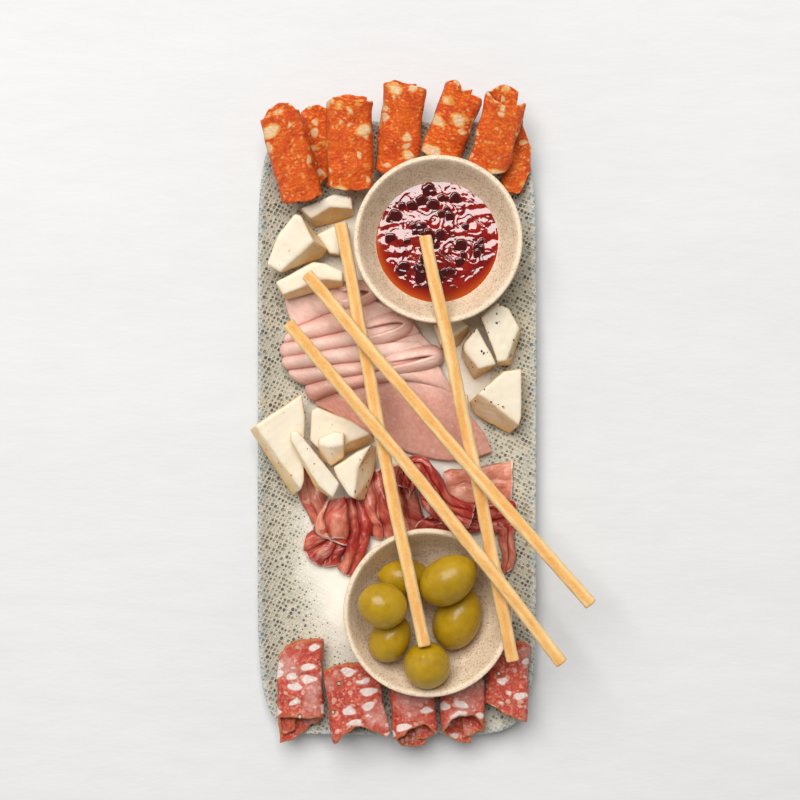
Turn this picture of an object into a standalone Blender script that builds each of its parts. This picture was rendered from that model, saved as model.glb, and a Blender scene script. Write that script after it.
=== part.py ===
"""A charcuterie board: a stoneware plate with two bowls, rolled and folded meats, cheese and breadsticks.

Every piece is one closed solid in its own object. The frame is +X across the plate, +Y along it and +Z up,
with its origin at the middle of the plate's flat underside. Lengths below are in millimetres, which MM turns
into Blender's metres where a mesh is made.

Each food is laid out from above, by where it is and how it is turned, and rest_on then lowers it until it
rests on the pieces under it, with a hair's gap.
"""

import math

import bmesh
import bpy
from mathutils import Euler, Matrix, Vector
from mathutils.bvhtree import BVHTree

MM = 0.001
GAP = 0.35
DROP_FROM = 150.0

# Plate
PLATE_HALF_WIDTH = 79.6
PLATE_HALF_LENGTH = 175.0
PLATE_POWER = 8
PLATE_FLOOR = 7.0
PLATE_RIM = 14.0
PLATE_POINTS = 40

# Bowls
BOWL_HEIGHT = 34.0
BOWL_SIDES = 24
JAM_BOWL_AT = (22.8, 105.2)
OLIVE_BOWL_AT = (17.1, -102.3)
JAM_LEVEL = 17.5

# Sliced meats
CHORIZO_THICK = 1.7
SALAMI_THICK = 1.5
MORTADELLA_THICK = 1.6
PROSCIUTTO_THICK = 1.3
LAYER_SPACE = 1.0
TURN_STEP = 50.0
STRAIGHT_STEP = 6.5

# Breadsticks
STICK_LENGTH = 240.0
STICK_WIDTH = 7.6
STICK_SIDES = 8
STICK_PARTS = 8

COLOURS = {
    "stoneware": ((0.62, 0.60, 0.53), 0.45),
    "bowl_glaze": ((0.68, 0.58, 0.45), 0.4),
    "jam": ((0.36, 0.02, 0.01), 0.1),
    "olive": ((0.42, 0.34, 0.03), 0.3),
    "chorizo": ((0.75, 0.14, 0.03), 0.4),
    "salami": ((0.62, 0.10, 0.06), 0.45),
    "mortadella": ((0.80, 0.47, 0.40), 0.45),
    "prosciutto": ((0.62, 0.16, 0.15), 0.4),
    "cheese": ((0.90, 0.80, 0.60), 0.5),
    "breadstick": ((0.86, 0.62, 0.30), 0.7),
}


# ---------------------------------------------------------------- making objects


def clear_scene():
    for old in list(bpy.data.objects):
        bpy.data.objects.remove(old)


def material(slot):
    """The Principled material of a kind of food or ware, made once."""
    made = bpy.data.materials.get(slot)
    if made:
        return made
    made = bpy.data.materials.new(slot)
    made.use_nodes = True
    colour, roughness = COLOURS[slot]
    shader = made.node_tree.nodes["Principled BSDF"]
    shader.inputs["Base Color"].default_value = (*colour, 1.0)
    shader.inputs["Roughness"].default_value = roughness
    shader.inputs["Metallic"].default_value = 0.0
    return made


def new_object(name, slot, points, faces, smooth=True):
    """An object from points in millimetres and their faces."""
    mesh = bpy.data.meshes.new(name)
    mesh.from_pydata([Vector(p) * MM for p in points], [], faces)
    work = bmesh.new()
    work.from_mesh(mesh)
    bmesh.ops.recalc_face_normals(work, faces=work.faces)
    work.to_mesh(mesh)
    work.free()
    mesh.materials.append(material(slot))
    if smooth:
        mesh.shade_smooth()
        mesh.set_sharp_from_angle(angle=math.radians(40))
    made = bpy.data.objects.new(name, mesh)
    bpy.context.scene.collection.objects.link(made)
    return made


def loft(rings):
    """(points, faces) of rings of equal size joined one to the next, with both ends closed."""
    count = len(rings[0])
    points = [p for ring in rings for p in ring]
    faces = []
    for r in range(len(rings) - 1):
        for i in range(count):
            j = (i + 1) % count
            faces.append((r * count + i, r * count + j, (r + 1) * count + j, (r + 1) * count + i))
    faces.append(tuple(range(count)))
    faces.append(tuple(range(len(points) - count, len(points))))
    return points, faces


def lathe(profile, sides, relief=None):
    """(points, faces) of a (radius, height) profile turned about Z. A radius of 0 makes that end a point.
    relief(x, y) adds to the height of each point."""
    points, rows, faces = [], [], []
    for radius, height in profile:
        row = []
        for i in range(sides if radius > 0 else 1):
            turn = math.tau * i / sides
            x, y = radius * math.cos(turn), radius * math.sin(turn)
            row.append(len(points))
            points.append((x, y, height + (relief(x, y, height) if relief else 0.0)))
        rows.append(row)
    for low, high in zip(rows, rows[1:]):
        for i in range(sides):
            j = (i + 1) % sides
            if len(low) == 1:
                faces.append((low[0], high[i], high[j]))
            elif len(high) == 1:
                faces.append((low[i], low[j], high[0]))
            else:
                faces.append((low[i], low[j], high[j], high[i]))
    for row, start in ((rows[0], True), (rows[-1], False)):
        if len(row) > 1:
            faces.append(tuple(row))
    return points, faces


def skin(grid, thick):
    """(points, faces) of a sheet of even thickness. grid is rows of (point, unit normal) along its middle."""
    rows, columns = len(grid), len(grid[0])
    points = []
    for side in (0.5, -0.5):
        for r in range(rows):
            for c in range(columns):
                point, normal = grid[r][c]
                points.append(point + normal * (side * thick))
    under = rows * columns

    def index(r, c, lower):
        return r * columns + c + (under if lower else 0)

    faces = []
    for r in range(rows - 1):
        for c in range(columns - 1):
            corners = ((r, c), (r, c + 1), (r + 1, c + 1), (r + 1, c))
            faces.append(tuple(index(*corner, False) for corner in corners))
            faces.append(tuple(index(*corner, True) for corner in reversed(corners)))
    edge = [(0, c) for c in range(columns)]
    edge += [(r, columns - 1) for r in range(1, rows)]
    edge += [(rows - 1, c) for c in range(columns - 2, -1, -1)]
    edge += [(r, 0) for r in range(rows - 2, 0, -1)]
    for here, there in zip(edge, edge[1:] + edge[:1]):
        faces.append((index(*here, False), index(*there, False), index(*there, True), index(*here, True)))
    return points, faces


def place(obj, at, turn=0.0, pitch=0.0, roll=0.0, height=DROP_FROM):
    """Puts an object at a place seen from above. Its own +Y points turn degrees to the left of the plate's
    +Y, pitch lifts that end, and roll turns it about its own length. The turning goes into the mesh."""
    spin = Euler((math.radians(pitch), math.radians(roll), math.radians(turn)), "YXZ").to_matrix().to_4x4()
    obj.data.transform(spin)
    obj.location = (at[0] * MM, at[1] * MM, height * MM)
    bpy.context.view_layer.update()
    return obj


# ---------------------------------------------------------------- resting one piece on others


def surface_points(obj, spacing=3.0 * MM):
    """Points over an object's surface in world space: its corners, steps along edges and faces' middles."""
    mesh, world = obj.data, obj.matrix_world
    found = [v.co.copy() for v in mesh.vertices]
    for edge in mesh.edges:
        a, b = (mesh.vertices[i].co for i in edge.vertices)
        parts = int((b - a).length / spacing)
        found += [a.lerp(b, k / (parts + 1)) for k in range(1, parts + 1)]
    found += [polygon.center.copy() for polygon in mesh.polygons]
    return [world @ p for p in found]


def tree_of(obj):
    world = obj.matrix_world
    points = [world @ v.co for v in obj.data.vertices]
    return BVHTree.FromPolygons(points, [tuple(p.vertices) for p in obj.data.polygons])


def rest_on(obj, supports, gap=GAP):
    """Lowers an object until it is a gap above the supports under it."""
    down, up = Vector((0, 0, -1)), Vector((0, 0, 1))
    mine, tree = surface_points(obj), tree_of(obj)
    low = Vector((min(p.x for p in mine), min(p.y for p in mine), 0))
    high = Vector((max(p.x for p in mine), max(p.y for p in mine), 0))
    room = math.inf
    for support in supports:
        below = tree_of(support)
        for point in mine:
            hit = below.ray_cast(point, down)
            if hit[0] is not None:
                room = min(room, hit[3])
        for point in surface_points(support):
            if low.x <= point.x <= high.x and low.y <= point.y <= high.y:
                hit = tree.ray_cast(point, up)
                if hit[0] is not None:
                    room = min(room, hit[3])
    obj.location.z -= room - gap * MM
    bpy.context.view_layer.update()
    return obj


# ---------------------------------------------------------------- ware


def plate_ring(inset, height):
    """One ring of the plate, a superellipse whose long sides bow out a little."""
    ring = []
    for i in range(PLATE_POINTS):
        turn = math.tau * i / PLATE_POINTS
        c, s = math.cos(turn), math.sin(turn)
        x = math.copysign(abs(c) ** (2 / PLATE_POWER), c) * (PLATE_HALF_WIDTH - inset)
        y = math.copysign(abs(s) ** (2 / PLATE_POWER), s) * (PLATE_HALF_LENGTH - inset)
        ring.append((x, y, height))
    return ring


def make_plate():
    """A shallow tray: a flat foot, sides that flare to a rounded rim, and a floor that dips inside it."""
    outside = [(22.0, 0.0), (16.0, 1.4), (6.0, 5.6), (1.2, 10.4)]
    rim = [(0.0, PLATE_RIM - 1.4), (1.0, PLATE_RIM - 0.1), (2.8, PLATE_RIM)]
    inside = [(6.0, PLATE_RIM - 2.6), (13.0, PLATE_FLOOR + 1.4), (24.0, PLATE_FLOOR)]
    rings = [plate_ring(inset, height) for inset, height in outside + rim + inside]
    return new_object("plate", "stoneware", *loft(rings))


BOWL_OUTSIDE = [(24.0, 0.0), (26.0, 1.6), (31.5, 5.0), (38.5, 13.5), (43.6, 23.0)]
BOWL_RIM = [(46.7, BOWL_HEIGHT - 2.6), (46.5, BOWL_HEIGHT - 0.6), (45.2, BOWL_HEIGHT)]
BOWL_INSIDE = [(43.8, BOWL_HEIGHT - 0.6), (41.6, 29), (38.4, 23), (35, JAM_LEVEL), (27, 9.4), (15, 5.8)]
BOWL_FLOOR = 5.2


def bowl_inner_radius(height):
    """The inside radius of a bowl at a height above its foot."""
    for (wide, top), (narrow, low) in zip(BOWL_INSIDE, BOWL_INSIDE[1:]):
        if low <= height <= top:
            return narrow + (wide - narrow) * (height - low) / (top - low)
    return 0.0


def make_bowl(name, at, plate):
    profile = BOWL_OUTSIDE + BOWL_RIM + BOWL_INSIDE + [(0.0, BOWL_FLOOR)]
    bowl = new_object(name, "bowl_glaze", *lathe(profile, BOWL_SIDES))
    return rest_on(place(bowl, at), [plate])


def jam_relief(x, y, height):
    """Low lumps of fruit over the jam's top."""
    if height < JAM_LEVEL - 1.0:
        return 0.0
    return 0.45 * math.sin(0.42 * x + 1.0) * math.cos(0.37 * y) + 0.3 * math.sin(0.6 * (x + y))


def make_jam(bowl):
    """Jam that fills its bowl to a level, a gap away from the wall, with a lumpy top."""
    wall = [(r - 0.5, z + 0.5) for r, z in reversed(BOWL_INSIDE) if z < JAM_LEVEL]
    edge = bowl_inner_radius(JAM_LEVEL - 0.8) - 0.6
    top = [(edge, JAM_LEVEL - 1.2)] + [(edge * share, JAM_LEVEL) for share in (0.78, 0.52, 0.26)]
    profile = [(0.0, 5.7)] + wall + top + [(0.0, JAM_LEVEL)]
    jam = new_object("jam", "jam", *lathe(profile, BOWL_SIDES, jam_relief))
    return place(jam, (bowl.location.x / MM, bowl.location.y / MM), height=bowl.location.z / MM)


# ---------------------------------------------------------------- olives


# name, place, length, width, turn, pitch: the low ones first, as they were dropped in
OLIVES = [
    ("olive_back", (4.0, -84.0), 30.0, 21.0, 82.0, 8.0),
    ("olive_right", (34.0, -107.0), 34.0, 24.0, -24.0, 8.0),
    ("olive_left_low", (-3.6, -117.0), 28.0, 22.0, -30.0, 10.0),
    ("olive_front", (16.6, -131.0), 27.0, 24.6, 20.0, 62.0),
    ("olive_top_right", (28.4, -83.6), 34.0, 25.0, -56.0, 12.0),
    ("olive_left", (-8.0, -97.0), 27.0, 24.0, 70.0, 24.0),
]
OLIVE_RINGS = 8
OLIVE_SIDES = 12


def make_olive(name, at, length, width, turn, pitch, supports):
    """A plump oval, a little fuller at one end, that lies along its own Y."""
    profile = []
    for i in range(OLIVE_RINGS + 1):
        along = -math.cos(math.pi * i / OLIVE_RINGS)
        round_off = math.sqrt(max(0.0, 1 - along * along))
        profile.append((width / 2 * round_off * (1 - 0.07 * along), along * length / 2))
    profile[0], profile[-1] = (0.0, -length / 2), (0.0, length / 2)
    olive = new_object(name, "olive", *lathe(profile, OLIVE_SIDES))
    olive.data.transform(Matrix.Rotation(math.radians(-90), 4, "X"))
    return rest_on(place(olive, at, turn, pitch), supports)


# ---------------------------------------------------------------- rolled and folded slices


def fold_stations(runs, turn_step=TURN_STEP, straight_step=STRAIGHT_STEP):
    """Walks a slice's cross-section, given as (length, turn in degrees) runs, and returns (distance, x, z,
    heading) at each station. A run with a turn is an arc, with stations close enough to keep it round."""
    x = z = distance = 0.0
    heading = 0.0
    stations = [(distance, x, z, heading)]
    for length, turn in runs:
        parts = max(1, math.ceil(abs(turn) / turn_step if turn else length / straight_step))
        for _ in range(parts):
            heading += math.radians(turn) / parts / 2
            x += length / parts * math.cos(heading)
            z += length / parts * math.sin(heading)
            heading += math.radians(turn) / parts / 2
            distance += length / parts
            stations.append((distance, x, z, heading))
    return stations


def scroll_runs(width, height, thick, inner, flap):
    """A flattened scroll with its seam on top: an inner leaf, a loop down one side, the bottom, a wider loop
    up the other side, and a flap that lies over the inner leaf. Heights and widths are the outside ones."""
    outer_loop = height - thick
    inner_loop = outer_loop - thick - LAYER_SPACE
    bottom = width - thick - (outer_loop + inner_loop) / 2
    return [
        (inner, 0),
        (math.pi * inner_loop / 2, 180),
        (bottom, 0),
        (math.pi * outer_loop / 2, 180),
        (flap, 0),
    ]


def slice_object(name, slot, runs, length, thick, power=2.2, rows=2, mirror=False, notch=0.0, skew=0.0):
    """A round slice folded along its own Y. Its edge is a superellipse, so leaves near the slice's two sides
    are shorter than those at its middle. notch cuts a V into the +Y end, and skew slants both ends."""
    stations = fold_stations(runs)
    total = stations[-1][0]
    flip = -1.0 if mirror else 1.0
    xs = [s[1] for s in stations]
    middle, reach = (min(xs) + max(xs)) / 2, (max(xs) - min(xs)) / 2
    low = min(s[2] for s in stations)
    grid = []
    for distance, x, z, heading in stations:
        side = max(-0.97, min(0.97, 2 * distance / total - 1))
        half = length / 2 * (1 - abs(side) ** power) ** (1 / power)
        row = []
        for c in range(rows + 1):
            b = 2 * c / rows - 1
            y = b * half + skew * side
            if b == 1:
                y -= notch * max(0.0, 1 - abs(x - middle) / (0.7 * reach))
            point = Vector((flip * (x - middle), y, z - low))
            row.append((point, Vector((-flip * math.sin(heading), 0, math.cos(heading)))))
        grid.append(row)
    return new_object(name, slot, *skin(grid, thick))


# name, place, turn, pitch, roll, width, height, length, inner leaf, flap, options
CHORIZO = [
    ("chorizo_under_left", (-47.0, 160.0), -5.0, 6.0, 0.0, 18.0, 9.0, 46.0, 6.0, 7.0, {}),
    ("chorizo_1", (-58.8, 155), 16, 8, -7, 24, 13, 56, 10, 17, {"mirror": True, "power": 2.5}),
    ("chorizo_2", (-26.6, 162.0), 0.0, 7.0, 0.0, 26.4, 13.5, 54.0, 8.0, 16.0, {"power": 2.6}),
    ("chorizo_3", (2.2, 170.6), -6.5, 7.0, 0.0, 23.2, 13.5, 52.0, 9.0, 12.0, {"notch": 6.0, "power": 2.6}),
    ("chorizo_4", (31.0, 173.4), -20.0, 8.0, 0.0, 21.4, 12.5, 46.0, 8.0, 10.0, {"notch": 10.0, "power": 2.6}),
    ("chorizo_under_right", (67.6, 154.4), -1.0, 5.0, 0.0, 14.0, 6.8, 42.0, 4.0, 7.0, {}),
    ("chorizo_5", (55.6, 168.4), -16.0, 8.0, 5.0, 23.4, 12.5, 48.0, 9.0, 12.0, {"power": 2.3}),
]

SALAMI = [
    ("salami_1", (-54.6, -150), 2, -7, 0, 27, 10.4, 58, 5, 20, {"mirror": True, "power": 2.6}),
    ("salami_2", (-22.6, -154.6), 9.0, -7.0, 0.0, 31.6, 10.6, 44.0, 6.0, 21.0, {"power": 3.0}),
    ("salami_3", (9.4, -161.6), 3.0, -7.0, 0.0, 25.0, 12.0, 38.0, 7.0, 12.0, {}),
    ("salami_4", (37.0, -160.4), 3.0, -7.0, 0.0, 24.6, 13.4, 38.0, 7.0, 10.0, {}),
    ("salami_5", (62.4, -143.4), -1.0, -5.0, 0.0, 24.0, 10.2, 45.0, 5.0, 16.0, {"mirror": True, "skew": 4.0}),
]


def make_rolls(table, slot, thick, supports):
    """Rolled slices in a row. Each rests on the supports and on the rolls already laid."""
    laid = []
    for name, at, turn, pitch, roll, width, height, length, inner, flap, options in table:
        runs = scroll_runs(width, height, thick, inner, flap)
        piece = slice_object(name, slot, runs, length, thick, **options)
        laid.append(rest_on(place(piece, at, turn, pitch, roll), supports + laid))
    return laid


# ---------------------------------------------------------------- mortadella


PLEAT_LEAN = 84.0
PLEAT_TURN_STEP = 60.0


def pleat_runs(first, last, pleats, rise, crest, valley):
    """A flat stretch, then pleats side by side, each over a rounded crest, and a flat stretch after them."""
    runs = [(first, 0), (valley / 2, PLEAT_LEAN)]
    for _ in range(pleats):
        runs += [(rise, 0), (crest, -2 * PLEAT_LEAN), (rise, 0), (valley, 2 * PLEAT_LEAN)]
    runs[-1] = (valley / 2, PLEAT_LEAN)
    return runs + [(last, 0)]


def between(table, share):
    """The values at a share of the way along rows of (share, value, ...)."""
    for (a, *low), (b, *high) in zip(table, table[1:]):
        if share <= b:
            mix = (share - a) / (b - a)
            return [v + (w - v) * mix for v, w in zip(low, high)]
    return list(table[-1][1:])


def pleated_slice(name, runs, ends, fade, rows=5):
    """A slice with pleats that run along X. ends holds rows of (share of the way from the front, left end,
    right end), and fade is the stretch of X over which the pleats flatten."""
    stations = fold_stations(runs, PLEAT_TURN_STEP, 12.0)
    grid = []
    for distance, y, z, heading in stations:
        left, right = between(ends, distance / stations[-1][0])
        row = []
        for c in range(rows + 1):
            x = left + (right - left) * c / rows
            flat = min(1.0, max(0.0, (x - fade[0]) / (fade[1] - fade[0])))
            keep = 1 - 0.7 * flat * flat * (3 - 2 * flat)
            slope = Vector((0, math.cos(heading), math.sin(heading) * keep)).normalized()
            row.append((Vector((x, y, z * keep)), Vector((0, -slope.z, slope.y))))
        grid.append(row)
    return new_object(name, "mortadella", *skin(grid, MORTADELLA_THICK))


MORTADELLA_AT = (0.0, -19.0)
MORTADELLA_TURN = 9.5
FRONT_PLEATS = pleat_runs(38.0, 3.0, 2, 1.6, 12.4, 3.6)
FRONT_ENDS = [
    (0.0, 12.0, 44.0),
    (0.1, -2.0, 55.0),
    (0.25, -22.0, 57.0),
    (0.42, -36.0, 48.0),
    (0.55, -46.0, 39.0),
    (0.75, -52.0, 31.0),
    (1.0, -58.0, 24.0),
]
BACK_PLEATS = pleat_runs(2.0, 14.0, 3, 2.0, 12.4, 3.6)
BACK_ENDS = [
    (0.0, -57.0, 23.0),
    (0.15, -58.0, 19.0),
    (0.5, -58.0, 9.0),
    (0.8, -52.0, -4.0),
    (0.9, -48.0, -10.0),
    (1.0, -38.0, -24.0),
]
SLICE_SPACE = 2.4


def make_mortadella(plate):
    """Two big slices, each gathered into pleats. The front one runs out into a flat fan."""
    front = pleated_slice("mortadella_front", FRONT_PLEATS, FRONT_ENDS, (-6.0, 34.0))
    rest_on(place(front, MORTADELLA_AT, MORTADELLA_TURN), [plate])
    back = pleated_slice("mortadella_back", BACK_PLEATS, BACK_ENDS, (-20.0, 14.0))
    beyond = fold_stations(FRONT_PLEATS)[-1][1] + SLICE_SPACE
    turn = math.radians(MORTADELLA_TURN)
    at = (MORTADELLA_AT[0] - beyond * math.sin(turn), MORTADELLA_AT[1] + beyond * math.cos(turn))
    rest_on(place(back, at, MORTADELLA_TURN), [plate, front])
    return [front, back]


# ---------------------------------------------------------------- prosciutto


def ruffle(name, line, folds, supports, columns=10, twist=0.5):
    """A thin ribbon of ham gathered into folds that run along it. line holds its middle as (x, y, width,
    height of the folds), and twist moves the folds sideways from one of its points to the next."""
    grid = []
    for i, (x, y, width, height) in enumerate(line):
        before, after = line[max(0, i - 1)], line[min(len(line) - 1, i + 1)]
        along = Vector((after[0] - before[0], after[1] - before[1])).normalized()
        row = []
        for c in range(columns + 1):
            b = 2 * c / columns - 1
            lift = height * (0.5 - 0.5 * math.cos(math.pi * folds * (b + 1) + twist * i))
            spread = b * width / 2
            row.append((Vector((x + along.y * spread, y - along.x * spread, lift)), Vector((0, 0, 1))))
        grid.append(row)
    piece = new_object(name, "prosciutto", *skin(grid, PROSCIUTTO_THICK))
    piece.location.z = DROP_FROM * MM
    bpy.context.view_layer.update()
    return rest_on(piece, supports)


# name, middle line as (x, y, width, height), folds, columns
PROSCIUTTO = [
    ("prosciutto_strip", [(-52, -22, 14, 1.5), (-50, -38, 15, 3), (-47.5, -56, 13, 3)], 1, 6),
    ("prosciutto_lobe", [(-53.4, -67, 12, 5), (-44, -69, 20, 9), (-33, -70, 20, 8)], 1.5, 10),
    ("prosciutto_petal", [(-44, -49, 12, 8), (-36, -50, 17, 10), (-27.8, -50, 15, 8)], 1, 8),
    (
        "prosciutto_middle",
        [(-17, -36, 12, 3), (-18.6, -47, 15, 8), (-21, -61, 16, 9), (-26, -83, 10, 4)],
        1.5,
        9,
    ),
    ("prosciutto_centre", [(-6.4, -38, 30, 6), (4, -41, 34, 10), (15, -48, 24, 10)], 2.5, 12),
    ("prosciutto_loop", [(9, -28, 18, 11), (19, -28, 23, 14), (29, -31, 22, 10)], 1.5, 9),
    ("prosciutto_right", [(33, -38, 38, 6), (48, -38, 37, 8), (65, -38, 36, 6)], 2, 12),
    ("prosciutto_tail", [(60, -59, 12, 4), (62, -70, 11, 5), (65, -80, 7, 2)], 1, 8),
]


def make_prosciutto(supports):
    laid = []
    for name, line, folds, columns in PROSCIUTTO:
        laid.append(ruffle(name, line, folds, supports + laid, columns))
    return laid


# ---------------------------------------------------------------- cheese


# name, outline seen from above, (height, pitch, roll), (the way its sloping side faces, how far that side
# slopes in), in the order that they are laid
CHEESE = [
    (
        "cheese_back_under",
        [(-46, 109.5), (-37, 114), (-28.6, 116), (-26.5, 111.2), (-32.4, 98), (-38, 98.6)],
        (12, 0, 0),
        (0, 0),
    ),
    (
        "cheese_back_front",
        [(-68, 82), (-47, 93.4), (-39.8, 92.6), (-29.9, 87.8), (-29.9, 80), (-40.7, 78.3), (-63.2, 72.5)],
        (14, 0, 0),
        (-80, 6),
    ),
    (
        "cheese_back_wedge",
        [(-57, 119.5), (-53.5, 118.4), (-39, 100), (-42.6, 95.6), (-64.8, 86.6), (-72.9, 91), (-66.5, 108)],
        (19, 3, 0),
        (-30, 9),
    ),
    (
        "cheese_back_top",
        [(-54.6, 124.2), (-35.2, 132.2), (-25.6, 130.4), (-24.2, 120.6), (-36.6, 116.4), (-47.8, 114)],
        (17.6, 2, 0),
        (-80, 8),
    ),
    (
        "cheese_right_near",
        [(20.9, 58.5), (28.2, 63), (36, 61.6), (42.6, 55.6), (36.4, 47), (26, 44.4)],
        (14, 0, 3),
        (-60, 6),
    ),
    (
        "cheese_right_small",
        [(37.4, 47.6), (45, 57), (54.2, 40.2), (55.2, 34.2), (43.6, 26.8), (36.6, 40.5)],
        (19, 2, 0),
        (-110, 7),
    ),
    (
        "cheese_right_slab",
        [(47, 62.4), (56, 70.4), (62.8, 67.2), (70.8, 54.3), (64.6, 34.6), (58.6, 34.6), (55.6, 42)],
        (17, 2, 0),
        (-45, 5),
    ),
    (
        "cheese_right_wedge",
        [(42, 14.5), (60.4, 32.4), (70.6, 33.8), (69.6, 5), (65.5, -3.6), (45.6, 7.6)],
        (16, 0, 4),
        (-125, 11),
    ),
    (
        "cheese_right_crumb",
        [(35.4, 19.8), (40.4, 19.2), (40.8, 12.8), (36.6, 11.4)],
        (7, 0, 0),
        (0, 0),
    ),
    (
        "cheese_left_slab",
        [(-81.8, -0.5), (-53, 19.6), (-51.2, 7.8), (-55, -33.9), (-57, -38.6)],
        (12, 0, 8),
        (225, 8),
    ),
    (
        "cheese_left_back",
        [(-49, 10), (-45.6, 12.2), (-26.6, 4.6), (-13, -6.6), (-23.8, -12.6), (-38.5, -19.5), (-49.8, -7)],
        (11, 0, 0),
        (-60, 6),
    ),
    (
        "cheese_left_corner",
        [(-36.3, -22), (-22.4, -13), (-12.2, -10), (-14, -25.6), (-19.5, -41.4), (-25.9, -38.6), (-34, -28)],
        (15, 0, -4),
        (-20, 9),
    ),
    (
        "cheese_left_small",
        [(-44, -5), (-35.4, -1), (-29.4, -2), (-29.5, -15.5), (-37, -21), (-44, -15)],
        (9, -5, 0),
        (-90, 10),
    ),
    (
        "cheese_left_baton",
        [(-59.6, -2.2), (-55.6, -1), (-31.6, -30.7), (-36.4, -39.4), (-45.4, -33.4), (-59.4, -6.4)],
        (8, 0, 5),
        (225, 4),
    ),
]
CHEESE_BEVEL = 0.9


def make_cheese(name, outline, stance, facet, supports):
    """A piece of cheese with a slight bevel along its edges. Its side that faces one way slopes."""
    height, pitch, roll = stance
    facing, slope = math.radians(facet[0]), facet[1]
    way = Vector((math.cos(facing), math.sin(facing)))
    middle = sum((Vector(p) for p in outline), Vector((0, 0))) / len(outline)
    corners = [Vector(p) - middle for p in outline]
    rings = []
    bevel = CHEESE_BEVEL
    for inset, share, level in [(bevel, 0, -height), (0, 0, bevel - height), (0, 1, -bevel), (bevel, 1, 0)]:
        ring = []
        for corner in corners:
            back = way * (slope * share * max(0.0, corner.normalized().dot(way)))
            ring.append((*(corner * (1 - inset / corner.length) - back), level))
        rings.append(ring)
    piece = new_object(name, "cheese", *loft(rings), smooth=False)
    return rest_on(place(piece, middle, 0.0, pitch, roll), supports)


# ---------------------------------------------------------------- breadsticks


# name, one end, the other end, height of the middle line at each end, how far it bows sideways
BREADSTICKS = [
    ("breadstick_low_left", (-31.6, 116.8), (15.6, -121.6), 31.5, 51.4, 1.2),
    ("breadstick_low_right", (15.5, 107.1), (64.2, -128.9), 45.9, 45.9, -1.0),
    ("breadstick_high_left", (-60.5, 58.8), (90.8, -128.8), 46.8, 56.0, -1.6),
    ("breadstick_high_right", (-50.6, 86.3), (106.2, -95.8), 40.8, 62.2, 1.0),
]


def make_breadstick(name, start, end, low, high, bow):
    """A hand-rolled stick of even length, rounded square in section, that bows a little."""
    a, b = Vector((*start, low)), Vector((*end, high))
    middle, along = (a + b) / 2, (b - a).normalized()
    side = Vector((along.y, -along.x, 0)).normalized()
    up = side.cross(along)
    if up.z < 0:
        up = -up
    rings = []
    for i in range(STICK_PARTS + 1):
        share = 2 * i / STICK_PARTS - 1
        centre = middle + along * (share * STICK_LENGTH / 2) + side * (bow * (1 - share * share))
        swell = 1 + 0.05 * math.sin(5 * share + len(name))
        ring = []
        for k in range(STICK_SIDES):
            turn = math.tau * (k + 0.5) / STICK_SIDES
            reach = STICK_WIDTH / 2 * swell
            ring.append(tuple(centre + side * (reach * math.cos(turn)) + up * (reach * math.sin(turn))))
        rings.append(ring)
    return new_object(name, "breadstick", *loft(rings))


# ---------------------------------------------------------------- the whole board


def main():
    clear_scene()
    plate = make_plate()
    jam_bowl = make_bowl("jam_bowl", JAM_BOWL_AT, plate)
    olive_bowl = make_bowl("olive_bowl", OLIVE_BOWL_AT, plate)
    make_jam(jam_bowl)
    settled = [olive_bowl]
    for olive in OLIVES:
        settled.append(make_olive(*olive, settled))
    mortadella = make_mortadella(plate)
    prosciutto = make_prosciutto([plate] + mortadella)
    laid = [plate] + mortadella + prosciutto
    for cheese in CHEESE:
        laid.append(make_cheese(*cheese, laid))
    make_rolls(CHORIZO, "chorizo", CHORIZO_THICK, laid)
    make_rolls(SALAMI, "salami", SALAMI_THICK, [plate])
    for stick in BREADSTICKS:
        make_breadstick(*stick)


main()
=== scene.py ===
"""The looks of a charcuterie board: stoneware, jam, olives, cured meats, cheese and breadsticks.

Sizes are in millimetres until a mesh is made. Each piece is shaped here in fine detail and then set down in
the space that its CAD node holds. Sheets of food carry a "flat" attribute, the place of each point on the
slice before it was folded, so that fat and marbling run through every fold.
"""

import math

import bmesh
import bpy
import numpy as np
from mathutils import Euler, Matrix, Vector
from mathutils.bvhtree import BVHTree


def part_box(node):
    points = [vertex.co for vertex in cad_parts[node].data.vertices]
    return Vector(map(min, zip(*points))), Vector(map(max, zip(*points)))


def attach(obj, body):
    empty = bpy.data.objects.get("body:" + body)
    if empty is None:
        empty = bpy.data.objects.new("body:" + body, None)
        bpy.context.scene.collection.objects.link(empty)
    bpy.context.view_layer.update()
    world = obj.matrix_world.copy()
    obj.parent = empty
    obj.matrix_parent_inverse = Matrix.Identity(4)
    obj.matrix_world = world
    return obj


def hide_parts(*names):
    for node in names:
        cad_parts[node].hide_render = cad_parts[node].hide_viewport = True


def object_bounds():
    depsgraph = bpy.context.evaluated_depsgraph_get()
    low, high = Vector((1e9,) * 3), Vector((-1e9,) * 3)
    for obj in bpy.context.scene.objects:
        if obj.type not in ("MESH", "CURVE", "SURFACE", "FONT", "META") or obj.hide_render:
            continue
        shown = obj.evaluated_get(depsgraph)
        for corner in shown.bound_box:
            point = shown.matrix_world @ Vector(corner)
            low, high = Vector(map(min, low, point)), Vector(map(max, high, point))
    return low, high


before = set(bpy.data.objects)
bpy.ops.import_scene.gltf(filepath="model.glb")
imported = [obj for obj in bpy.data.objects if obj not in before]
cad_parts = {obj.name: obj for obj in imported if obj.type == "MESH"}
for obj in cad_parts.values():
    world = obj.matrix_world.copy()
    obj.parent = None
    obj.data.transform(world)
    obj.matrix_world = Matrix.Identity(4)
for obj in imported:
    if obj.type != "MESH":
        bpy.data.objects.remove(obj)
cad_low, cad_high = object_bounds()

MM = 0.001
PLATE_HALF_WIDTH, PLATE_HALF_LENGTH, PLATE_HEIGHT = 79.6, 175.0, 14.0

# ---------------------------------------------------------------- shader nodes


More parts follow.
